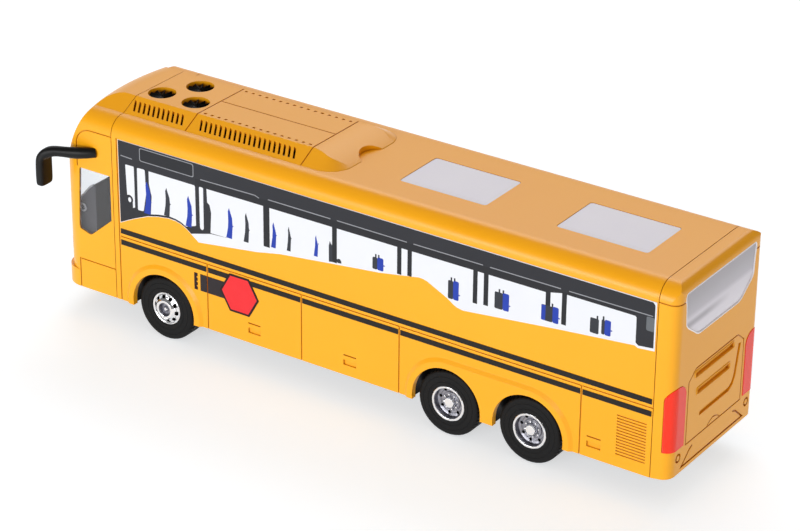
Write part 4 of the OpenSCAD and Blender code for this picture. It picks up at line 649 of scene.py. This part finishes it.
# %% Seat pairs
SEAT_ROUND, BLUE_TALLER = 0.8, 0.3
POST_HALF, POST_DOWN, POST_UP = 0.4, 1, 1.6
REST_BACK, REST_FRONT, REST_LOW, REST_HIGH = -0.7, 0.2, 2.6, 3.2
for front, split, rear, z0, z1, posts in [
        (-17.2, -19.8, -23.1, 72.3, 78.3, (-19.0, -20.6)),
        (-57.4, -60.1, -63.0, 69.4, 78.4, (-59.1, -60.8)),
        (-81.5, -85.7, -88.9, 71.8, 79.9, (-83.9, -85.9)),
        (-105.2, -110.9, -113.9, 73.3, 80.8, (-110.7,)),
        (-135.1, -136.7, -139.7, 75.2, 82.3, (-136.0,))]:
    prints += [("seat", oblong(x - POST_HALF, x + POST_HALF, z1 - POST_DOWN, z1 + POST_UP))
               for x in posts]
    prints.append(("seat", rounded(oblong(split, front, z0, z1), SEAT_ROUND)))
    prints.append(("blue", rounded(oblong(rear, split, z0, z1 + BLUE_TALLER), SEAT_ROUND)))
    prints.append(("blue", oblong(rear + REST_BACK, rear + REST_FRONT, z0 + REST_LOW,
                                  z0 + REST_HIGH)))
prints += [("blue", oblong(-107.3, -105.2, 73.3, 80.6)),
           ("seat", rounded(oblong(-133.8, -129.5, 74.5, 81.7), 0.7)),
           ("seat", oblong(-133.4, -132.6, 80.5, 83.2))]
print("outlines with all seats:", len(prints))

# %% [markdown]
# The foremost pane also shows the steering wheel with its column. Pale lines run along the header,
# broken at the pillars, and one of them frames an empty panel near the cab. The print lies on the
# white film, so it starts at the film's own face.

# %% Steering wheel, header lines and the finished print
HELM, HELM_RADIUS, HELM_STEPS = (121.4, 68.6), 2.3, 16
HELM_GAP, HELM_GAP_SHARES = (121.2, 68.4), (0.4, 0.55)
LINE_WIDTH = 0.45
FILM_FRONT = 127.425  # where the outlines' own scale has the film's front end
INK_GAP, INK_THICK = 0.01, 0.03

helm = [(HELM_RADIUS * math.cos(a), HELM_RADIUS * math.sin(a)) for a in angles(HELM_STEPS)]
prints += [("header", [(HELM[0] + x, HELM[1] + z) for x, z in helm]),
           ("header", [(124, 68), (119.4, 68.6), (119.4, 64), (124, 60)]),
           ("film", [(HELM_GAP[0] + HELM_GAP_SHARES[0] * x, HELM_GAP[1] + HELM_GAP_SHARES[1] * z)
                     for x, z in helm])]
for path in [[(125.8, 90.1), (119.0, 89.8)], [(78.9, 90.1), (47.9, 90.6), (45.4, 89.8)],
             [(40.3, 90.4), (5.7, 90.4)], [(2.1, 90.5), (-35.5, 90.4)],
             [(-39, 90.5), (-75.2, 90.6)], [(-78.8, 90.6), (-114.6, 90.7)],
             [(-118.7, 90.7), (-159.6, 90.9)]]:
    prints.append(("line", ribbon(path, LINE_WIDTH)))
prints += [("line", rounded(oblong(82.8, 114.6, 90.0, 96.8), 1.2)),
           ("frame", rounded(oblong(83.2, 114.2, 90.4, 96.4), 1.0)),
           ("smoke", rounded(oblong(-160.5, -156.6, 83.6, 90.2), 0.9))]
film_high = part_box("window_sticker_left")[1] / MM
for side_name, side in SIDES:
    mesh = printed("window_ink_" + side_name, prints, INKS, film_high.x - FILM_FRONT,
                   film_high.y + INK_GAP, INK_THICK, side)
    place(mesh, "window_ink_" + side_name, "bus")
print("window print:", len(prints), "outlines,", len(mesh.polygons), "faces a side")

# %% [markdown]
# ## The swing-out sign
# On the real coach this is a flat hexagonal board on a short arm, here only a sticker on the left
# flank. Its field stays plain red inside a dark edge, the arm is parted by a slit where the panel
# line runs, and the hinge is notched between its knuckles.

# %% Sign print
sign_low, sign_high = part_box("stop_sign")
SIGN_RADIUS = (sign_high.z - sign_low.z) / math.sqrt(3) / MM
SIGN_X = sign_low.x / MM + SIGN_RADIUS
SIGN_Z = (sign_low.z + sign_high.z) / 2 / MM
EDGE_OUT, EDGE_IN = 0.45, 0.75
ARM_HALF = 4.3
ARM_LOW, ARM_HIGH = SIGN_Z - ARM_HALF, SIGN_Z + ARM_HALF
ARM_START, SLIT_START, SLIT_END, ARM_END = 8.0, 18.3, 18.9, 22.7
HINGE_START, NOTCH_END, HINGE_END, NOTCH_TALL = 24.4, 25.0, 26.3, 0.9
NOTCH_TOPS = (ARM_HIGH - 1.6, SIGN_Z + 0.4, ARM_LOW + 2.4)


def hexagon(radius):
    """A hexagon round the sign's middle, with a corner at each end."""
    return [(radius * math.cos(a), SIGN_Z + radius * math.sin(a)) for a in angles(6)]


hinge = [(HINGE_START, ARM_LOW), (HINGE_END, ARM_LOW), (HINGE_END, ARM_HIGH),
         (HINGE_START, ARM_HIGH)]
for z in NOTCH_TOPS:
    hinge += [(HINGE_START, z), (NOTCH_END, z), (NOTCH_END, z - NOTCH_TALL),
              (HINGE_START, z - NOTCH_TALL)]
layers = [("arm", oblong(ARM_START, SLIT_START, ARM_LOW, ARM_HIGH)),
          ("arm", oblong(SLIT_END, ARM_END, ARM_LOW, ARM_HIGH)), ("edge", hinge),
          ("edge", hexagon(SIGN_RADIUS + EDGE_OUT)), ("field", hexagon(SIGN_RADIUS - EDGE_IN))]
mesh = printed("sign_film", layers, SIGN_INKS, SIGN_X, sign_low.y / MM,
               (sign_high.y - sign_low.y) / MM, 1)
place(mesh, "sign_film", "bus", "stop_sign")
print("sign radius", round(SIGN_RADIUS, 2), "mm")

# %% [markdown]
# ## Lofted pieces
# Tyres, mirrors, hubs, fans and beads are all lofts: rings of points joined by faces. One helper
# joins the rings. A second draws the rings of a thin round bead along a flat path; where the path
# lies in space is left to the caller.

# %% Loft helpers
BEAD_STEPS = 8


def loft(net, rings, tones=None, looped=False):
    """Joins rings of points, in mm; the ends are closed, or joined to each other when looped."""
    rows = [[net.verts.new(Vector(p) * MM) for p in ring] for ring in rings]
    size = len(rows[0])
    if not looped:
        net.faces.new(rows[0][::-1])
        net.faces.new(rows[-1])
    for k, (one, two) in enumerate(zip(rows, rows[1:] + rows[:1] if looped else rows[1:])):
        for i in range(size):
            j = (i + 1) % size
            face = net.faces.new([one[i], one[j], two[j], two[i]])
            face.material_index = tones[k] if tones else 0


def loft_bead(net, path, radius, in_space, looped=True):
    """A round bead; in_space(spot, u, v, lift) turns a point near a spot of the path into xyz."""
    rings = []
    for k, spot in enumerate(path):
        before = path[k - 1] if looped or k else spot
        after = path[(k + 1) % len(path)] if looped or k + 1 < len(path) else spot
        way = (Vector(after) - Vector(before)).normalized()
        rings.append([in_space(spot, spot[0] - way.y * radius * math.cos(a),
                               spot[1] + way.x * radius * math.cos(a), radius * math.sin(a))
                      for a in angles(BEAD_STEPS)])
    loft(net, rings, looped=looped)


# %% [markdown]
# ## Tyres with tread
# The solid tyres carry three grooves round the tread. Real ones also have lugs cut across the
# shoulders and fine rings on the side wall. A tyre is one section swept round its axle. The section
# is given as a radius and a depth from the outer face.

# %% Tyre section
tyre_low, tyre_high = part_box("front_tyre_left")
RADIUS = (tyre_high.z - tyre_low.z) / 2 / MM
WIDTH = (tyre_high.y - tyre_low.y) / MM
SEAT, LIP, LIP_DEEP, LIP_EDGE = 8.0, 8.3, 0.93, (0.25, 0.2)
WALL_RINGS = [(10.3, 0.15, 0.25, 0.15), (12.9, 0.1, 0.2, 0.12)]  # start, slope, flat, depth
ROUND, ROUND_STEPS = 1.6, 5
GROOVE, GROOVE_DEEP, GROOVE_SLOPE = 0.8, 0.6, 0.1

section = [(SEAT, LIP_DEEP), (LIP, LIP_DEEP), (LIP, LIP_EDGE[1]), (LIP + LIP_EDGE[0], 0.0)]
for start, slope, flat, deep in WALL_RINGS:
    section += [(start, 0.0), (start + slope, deep), (start + slope + flat, deep),
                (start + 2 * slope + flat, 0.0)]
shoulder = [(RADIUS - ROUND + ROUND * math.sin(a), ROUND - ROUND * math.cos(a))
            for a in [i * math.pi / 2 / ROUND_STEPS for i in range(ROUND_STEPS + 1)]]
section += shoulder
for middle in (WIDTH / 4, WIDTH / 2, 3 * WIDTH / 4):
    start, end = middle - GROOVE / 2, middle + GROOVE / 2
    section += [(RADIUS, start), (RADIUS - GROOVE_DEEP, start + GROOVE_SLOPE),
                (RADIUS - GROOVE_DEEP, end - GROOVE_SLOPE), (RADIUS, end)]
section += [(r, WIDTH - deep) for r, deep in reversed(shoulder)] + [(LIP, WIDTH), (SEAT, WIDTH)]
print("tyre section:", len(section), "points")

# %% [markdown]
# The lugs come from lowering the shoulder points at every few steps of the sweep. One mesh serves
# all six wheels: each is seated on the outer face of its own solid, turned to face outward.

# %% Tyre sweep
LUGS, LUG_DEPTH, LUG_REACH = 44, 0.45, 0.8 * ROUND
LUG_STOPS = [(0.0, LUG_DEPTH), (0.24, LUG_DEPTH), (0.32, 0.0), (0.92, 0.0)]


def wheel_seat(axle, side):
    """Where a piece that is drawn at the origin sits on the outer face of a wheel."""
    low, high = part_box(f"{axle}_tyre_{side}")
    spot = (low + high) / 2
    spot.y = high.y if side == "left" else low.y
    return Matrix.Translation(spot) @ Matrix.Rotation(0 if side == "left" else math.pi, 4, "Z")


rings = []
for lug in range(LUGS):
    for share, cut in LUG_STOPS:
        a = (lug + share) / LUGS * 2 * math.pi
        ring = []
        for r, deep in section:
            outer = r > RADIUS - LUG_REACH and not WIDTH / 4 < deep < 3 * WIDTH / 4
            r = min(r, RADIUS - cut) if outer else r
            ring.append((r * math.sin(a), -deep, r * math.cos(a)))
        rings.append(ring)
tyre = bmesh.new()
loft(tyre, rings, looped=True)
tyre_mesh = made_mesh(tyre, "treaded_tyre", [tyre_pvc], 32)
for axle, side in WHEELS:
    place(tyre_mesh, f"treaded_{axle}_tyre_{side}", axle + "_wheels",
          f"{axle}_tyre_{side}", wheel_seat(axle, side))
print("tyres:", len(WHEELS), "with", len(tyre_mesh.polygons), "faces each")

# %% [markdown]
# ## Door mirrors
# A door mirror of this kind is one soft-edged moulding: a round arm that leaves the cab, runs
# forward and outward, turns down at the elbow and swells into the flat head. Its solid is a chain
# of bars, so here the same arm is drawn as one smooth sweep. Each station gives its place, how far
# the section reaches sideways and across, and how square it is.

# %% Mirror stations
STATIONS = [
    (-25.0, -1.6, 87.0, 2.0, 2.4, 2.0), (-22.6, 0.2, 86.9, 2.2, 2.6, 2.0),
    (-18.6, 2.3, 86.6, 2.4, 2.8, 2.0), (-15.2, 3.5, 86.3, 2.4, 2.8, 2.0),
    (-11.0, 4.9, 86.2, 2.4, 2.6, 2.0), (-7.6, 6.1, 86.1, 2.5, 2.5, 2.2),
    (-4.8, 7.0, 85.6, 2.9, 2.5, 2.5), (-2.4, 7.4, 84.5, 3.5, 2.4, 2.8),
    (-0.8, 7.5, 82.6, 4.1, 2.3, 3.2), (-0.4, 7.5, 80.2, 4.4, 2.2, 4.0),
    (-0.3, 7.5, 74.0, 4.4, 2.2, 4.5), (-0.3, 7.5, 69.6, 4.3, 2.1, 4.5),
    (-0.3, 7.5, 68.2, 3.8, 1.8, 4.0), (-0.3, 7.5, 67.7, 2.4, 1.0, 3.0)]
SPAN_STEPS = 4


def between(stations, i, t):
    """A value on the smooth curve that runs through all stations."""
    a, b, c, d = [stations[max(0, min(len(stations) - 1, k))] for k in range(i - 1, i + 3)]
    return [q + t / 2 * (r - p + t * (2 * p - 5 * q + 4 * r - s + t * (3 * (q - r) + s - p)))
            for p, q, r, s in zip(a, b, c, d)]


dense = [between(STATIONS, i, k / SPAN_STEPS) for i in range(len(STATIONS) - 1)
         for k in range(SPAN_STEPS)] + [list(STATIONS[-1])]
print("mirror stations:", len(STATIONS), "drawn as", len(dense))

# %% [markdown]
# At each station the section stands square to the arm. The right mirror is the left one with its
# sideways places reversed.

# %% Mirror sweep
HEAD_SETBACK, SECTION_STEPS = 1.8, 24
CAB_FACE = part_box("body_shell")[1].y / MM
HEAD_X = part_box("mirror_left")[1].x / MM - HEAD_SETBACK
for side_name, side in SIDES:
    rings = []
    for k, (x, y, z, reach, deep, square) in enumerate(dense):
        before, after = [Vector(dense[max(0, min(len(dense) - 1, k + step))][:3])
                         for step in (-1, 1)]
        along = (after - before).normalized()
        across = (Vector((0, 1, 0)) - along * along.y).normalized()
        down = along.cross(across)
        ring = []
        for a in angles(SECTION_STEPS):
            c, s = [math.copysign(abs(v) ** (2 / square), v) for v in (math.cos(a), math.sin(a))]
            p = Vector((HEAD_X + x, CAB_FACE + y, z)) + across * reach * c + down * deep * s
            ring.append((p.x, side * p.y, p.z))
        rings.append(ring)
    arm = bmesh.new()
    loft(arm, rings)
    mesh = made_mesh(arm, "door_mirror", [black_abs], 40)
    place(mesh, "door_mirror_" + side_name, "bus", "mirror_" + side_name)
print("mirrors:", len(SIDES), "with", len(mesh.polygons), "faces each")

# %% [markdown]
# ## Wheel hubs
# The front hubs bulge outward to a bright ring round a dark recess, with ten square slots in the
# sloping web. The two driven pairs are dished inward: a thin bright lip, a grey dish with eight
# round holes, and a cap in a circle of nuts. Each is a turned section: a radius, a depth behind the
# tyre's outer face, and the plate from there to the next point. The slots or holes come where the
# section says pocket.

# %% Hub sections
# Painted shade: the recess and dish wear a darker copy of the plate, and the pocket floors wear
# black.
BRIGHT, SHADED_PLATE, POCKET_SHADOW = 0, 1, 2
POCKET = (None, None, None)
FRONT_HUB = [(0.7, -0.5, BRIGHT), (1.0, -0.2, SHADED_PLATE), (1.5, 0.4, SHADED_PLATE), (3.0, 0.5, SHADED_PLATE),
             (3.25, -0.8, SHADED_PLATE), (3.45, -1.2, BRIGHT), (3.9, -1.4, BRIGHT), (4.6, -1.3, BRIGHT),
             (5.0, -0.8, BRIGHT), (5.3, -0.5, BRIGHT), POCKET, (7.35, 0.75, BRIGHT),
             (7.5, 0.65, BRIGHT), (7.8, 0.45, BRIGHT), (8.1, 0.45, BRIGHT), (8.25, 0.6, BRIGHT),
             (8.25, 1.6, BRIGHT), (7.95, 1.7, BRIGHT), (7.95, 9.6, BRIGHT), (0.7, 9.6, BRIGHT)]
REAR_HUB = [(1.6, 0.5, BRIGHT), (2.3, 0.65, BRIGHT), (2.65, 1.1, BRIGHT), (2.75, 2.4, SHADED_PLATE),
            (2.9, 2.6, SHADED_PLATE), (4.5, 2.7, SHADED_PLATE), (4.7, 3.2, SHADED_PLATE), POCKET, (7.2, 2.6, SHADED_PLATE),
            (7.4, 0.4, BRIGHT), (7.55, -0.1, BRIGHT), (7.8, -0.2, BRIGHT), (8.35, -0.2, BRIGHT),
            (8.6, 0.0, BRIGHT), (8.6, 0.5, BRIGHT), (8.2, 0.6, BRIGHT), (7.95, 1.5, BRIGHT),
            (7.95, 9.6, BRIGHT), (1.6, 9.6, BRIGHT)]
HUBS = {"front": {"outline": FRONT_HUB, "count": 10, "phase": math.radians(7), "square": True,
                  "spans": (5.5, 7.05), "depths": (-0.35, 0.55), "reach": 1.0, "nuts": False},
        "middle": {"outline": REAR_HUB, "count": 8, "phase": math.radians(10), "square": False,
                   "spans": (5.15, 6.65), "depths": (3.2, 3.0), "reach": 0.75, "nuts": True}}
print("hub sections:", {axle: len(hub["outline"]) for axle, hub in HUBS.items()}, "points")

# %% [markdown]
# A pocket spans two radii of the web and reaches a little way round to each side of its middle. Its
# rim follows the web, its floor lies deeper and is black as painted shadow. Between the pockets the
# same rings run on as a hairline, so that the loft stays whole.

# %% Slots and holes
POCKET_DROP, POCKET_DRAFT, HAIRLINE = 1.6, 0.05, 0.08


def pocket_rings(turn, spans, depths, reach, square):
    """The four points of a slot or hole at one place round the hub: rim, floor, floor, rim."""
    middle, half = sum(spans) / 2, (spans[1] - spans[0]) / 2
    share = turn / reach
    open_here = abs(share) < 1
    wide = half * (1 if square else math.sqrt(1 - share * share)) if open_here else 0
    wide = max(wide, HAIRLINE)
    drop = POCKET_DROP if open_here else 0.0
    inner, outer = [depths[0] + (depths[1] - depths[0]) * (0.5 + way * wide / half / 2)
                    for way in (-1, 1)]
    return [(middle - wide, inner), (middle - wide + POCKET_DRAFT, inner + drop),
            (middle + wide - POCKET_DRAFT, outer + drop), (middle + wide, outer)]


slot_rim = [HUBS["front"][key] for key in ("spans", "depths", "reach", "square")]
print("slot in the front web:", [round(r, 2) for r, _ in pocket_rings(0, *slot_rim)], "mm out")

# %% [markdown]
# A hub is then a loft of circles. Each circle stops where a pocket begins, widens and ends, so the
# four rings of the pockets fit between the plain ones. The nuts are short six-sided lofts.

# %% Turned hubs
POCKET_STOPS = (-1.02, -0.98, -0.75, -0.4, 0.0, 0.4, 0.75, 0.98, 1.02)
NUT_RING, NUT_PROFILE = 3.65, [(0.52, 2.8), (0.52, 2.0), (0.364, 1.85)]


def turned_hub(name, outline, count, phase, square, spans, depths, reach, nuts):
    """A hub mesh with its axis along y and the tyre's outer face at y = 0."""
    middle = sum(spans) / 2
    turns = [reach * t for t in POCKET_STOPS] + [math.pi * middle / count]
    stops = [(2 * math.pi * k / count + phase + t / middle, t)
             for k in range(count) for t in turns]
    rings, tones = [], []
    for radius, deep, tone in outline:
        if radius is None:
            spots = [pocket_rings(t, spans, depths, reach, square) for _, t in stops]
            rings += [[(r * math.cos(a), -d, r * math.sin(a))
                       for (a, _), (r, d) in zip(stops, row)] for row in zip(*spots)]
            # Pocket floors take black as painted shadow; the far wall takes bright or painted-shade
            # plate.
            tones += [POCKET_SHADOW, POCKET_SHADOW, POCKET_SHADOW, BRIGHT if square else SHADED_PLATE]
        else:
            rings.append([(radius * math.cos(a), -deep, radius * math.sin(a)) for a, _ in stops])
            tones.append(tone)
    net = bmesh.new()
    loft(net, rings, tones)
    for k in range(count if nuts else 0):
        a = phase + (k + 0.5) / count * 2 * math.pi
        spot = Vector((NUT_RING * math.cos(a), 0, NUT_RING * math.sin(a)))
        loft(net, [[spot + Vector((r * math.cos(b), -deep, r * math.sin(b))) for b in angles(6)]
                   for r, deep in NUT_PROFILE])
    return made_mesh(net, name, [chrome_plate, chrome_shade, black_abs], 35)


hub_meshes = {axle: turned_hub(axle + "_hub", **hub) for axle, hub in HUBS.items()}
hub_meshes["rear"] = hub_meshes["middle"]
for axle, side in WHEELS:
    place(hub_meshes[axle], f"plated_{axle}_hub_{side}", axle + "_wheels",
          f"{axle}_hub_{side}", wheel_seat(axle, side))
print("hubs:", len(WHEELS), "with", [len(m.polygons) for m in hub_meshes.values()], "faces")

# %% [markdown]
# ## Dashboard hood
# Through the cab window one sees the end of the dashboard: a grey hood that rises in a curve from
# the nose. The hood is its side outline lofted across the cab, a little narrower towards the nose.

# %% Hood
HOOD_EDGE = [(157.5, 47.0), (157.5, 52.5), (157.0, 56.5), (155.0, 60.5), (152.0, 64.0),
             (149.0, 67.2), (147.3, 68.4)]
HOOD_BACK = [(146.4, 68.2), (146.2, 67.4), (146.2, 30.0), (157.5, 30.0)]
HOOD_HALF, HOOD_TAPER, TAPER_START, HOOD_LIP = 34.3, 0.12, 150, 0.8


def hood_half(x):
    """Half the hood's width, which narrows towards the nose."""
    return HOOD_HALF - HOOD_TAPER * max(0.0, x - TAPER_START)


hood = bmesh.new()
loft(hood, [[(x, side * (hood_half(x) - inset), z) for x, z in HOOD_EDGE + HOOD_BACK]
            for side, inset in [(1, 0.0), (1, HOOD_LIP), (-1, HOOD_LIP), (-1, 0.0)]])
mesh = made_mesh(hood, "dashboard_hood", [dash_abs], 30)
place(mesh, "dashboard_hood", "bus", "dashboard")
print("dashboard hood:", len(mesh.polygons), "faces")

# %% [markdown]
# A paler trim runs along the hood's edge, and a round dial cup sits at its foot. Both are thin
# beads of moulded ABS in a pale grey; the pale line round the dark hood is a painted highlight.

# %% Dashboard trim
TRIM_RADIUS, TRIM_LIFT = 0.45, 0.1
DIAL, DIAL_RADIUS, DIAL_STEPS = (154.7, 54.6), 1.8, 24
# Painted highlight: the pale grey of the trim stands for the light line along the hood's edge.
trim_abs = finish("pale_grey_abs_painted_highlight", ("#A9A9B0", "#B7B7BE"), cloud_mm=8, gloss=(0.3, 0.42),
                  grain_mm=0.8, lift_mm=0.01, sockets={"IOR": 1.53})
dial = [(DIAL[0] + DIAL_RADIUS * math.cos(a), DIAL[1] + DIAL_RADIUS * math.sin(a))
        for a in angles(DIAL_STEPS)]
trim = bmesh.new()
for side in (1, -1):
    for path, looped in [(HOOD_EDGE, False), (dial, True)]:
        loft_bead(trim, path, TRIM_RADIUS, lambda spot, x, z, lift:
                  (x, side * (hood_half(spot[0]) + TRIM_LIFT + lift), z), looped)
mesh = made_mesh(trim, "dashboard_trim", [trim_abs], 50)
place(mesh, "dashboard_trim", "bus")
print("dashboard trim:", len(mesh.polygons), "faces")

# %% [markdown]
# ## Fans in the roof pod
# Each round opening of the pod shows the blades of a fan: eleven wedges on a hub, moulded in black.

# %% Fan blades
FAN_CENTRES = [(125.425, 8.2), (115.475, -8.2), (105.525, 8.2)]
BLADES, BLADE_SPAN, BLADE_LOW, BLADE_TOP = 11, (1.0, 6.45), 109.1, 110.8
BLADE_SHARES, BLADE_EDGE = (0.05, 0.8), 0.25
FAN_HUB, FAN_STEPS = [(1.9, -1.0), (1.9, 0.0), (1.5, 0.3)], 24  # radius, height on the blades' foot
fans = bmesh.new()
for x, y in FAN_CENTRES:
    loft(fans, [[(x + r * math.cos(a), y + r * math.sin(a), BLADE_LOW + z)
                 for a in angles(FAN_STEPS)] for r, z in FAN_HUB])
    for k in range(BLADES):
        a, b = [2 * math.pi * (k + share) / BLADES for share in BLADE_SHARES]
        corners = [(a, BLADE_LOW), (b, BLADE_LOW), (b, BLADE_LOW + BLADE_EDGE), (a, BLADE_TOP)]
        loft(fans, [[(x + r * math.cos(t), y + r * math.sin(t), z) for t, z in corners]
                    for r in BLADE_SPAN])
mesh = made_mesh(fans, "pod_fans", [black_abs], 30)
place(mesh, "pod_fans", "bus")
print("fans:", len(FAN_CENTRES), "with", len(mesh.polygons), "faces")

# %% [markdown]
# ## Bead round the rear window
# The milky pane is edged by a thin raised bead of moulded white polystyrene, which catches more
# light than the pane itself. Its path is the pane's outline, set in a little, as shares of the
# pane's half width and height.

# %% Rear window bead
BEAD_RADIUS, BEAD_INSET, BEAD_PROUD, BEAD_ROUND = 0.45, 1.15, 0.1, 1.0
PANE_SHARES = [(0.56, 0.0), (0.63, 0.03), (0.90, 0.28), (0.955, 0.36), (0.975, 0.75),
               (1.0, 0.94), (0.97, 1.0)]
pane_half = window_high.y / MM - BEAD_INSET
pane_low, pane_high = window_low.z / MM + BEAD_INSET, window_high.z / MM - BEAD_INSET
pane_face = window_low.x / MM - BEAD_PROUD
half_path = [(pane_half * y, pane_low + (pane_high - pane_low) * z) for y, z in PANE_SHARES]
path = rounded(half_path + [(-y, z) for y, z in reversed(half_path)], BEAD_ROUND)
bead = bmesh.new()
loft_bead(bead, path, BEAD_RADIUS, lambda spot, y, z, lift: (pane_face + lift, y, z))
bead_resin = finish("white_polystyrene_moulded", ("#F0EEF4", "#F6F4FA"), cloud_mm=12,
                    gloss=(0.2, 0.3), grain_mm=2.0, lift_mm=0.006, sockets={"IOR": 1.49})
mesh = made_mesh(bead, "rear_window_bead", [bead_resin], 60)
place(mesh, "rear_window_bead", "bus")
print("bead:", len(mesh.polygons), "faces")

# %% [markdown]
# ## Rims of the lid slots
# The two upper slots of the engine lid have a raised rim, as moulded cooling slots often do: it
# stiffens the lid and hides the edge. Each rim is a thin round bead on the rear face.

# %% Slot rims
LID_SLOTS = [(-14.7, 18.4, 58.4), (-11.8, 16.2, 49.4)]  # the two ends and the height of each
RIM_RADIUS, RIM_ENDS, RIM_REACH, RIM_ROUND = 0.36, 0.8, 1.65, 1.2
tail_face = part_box("rear_cap")[0].x / MM
rims = bmesh.new()
for y0, y1, z in LID_SLOTS:
    outline = oblong(y0 - RIM_ENDS, y1 + RIM_ENDS, z - RIM_REACH, z + RIM_REACH)
    loft_bead(rims, rounded(outline, RIM_ROUND), RIM_RADIUS,
              lambda spot, y, z, lift: (tail_face + lift, y, z))
mesh = made_mesh(rims, "lid_slot_rims", [yellow_abs], 60)
place(mesh, "lid_slot_rims", "bus")
print("slot rims:", len(LID_SLOTS), "with", len(mesh.polygons), "faces")
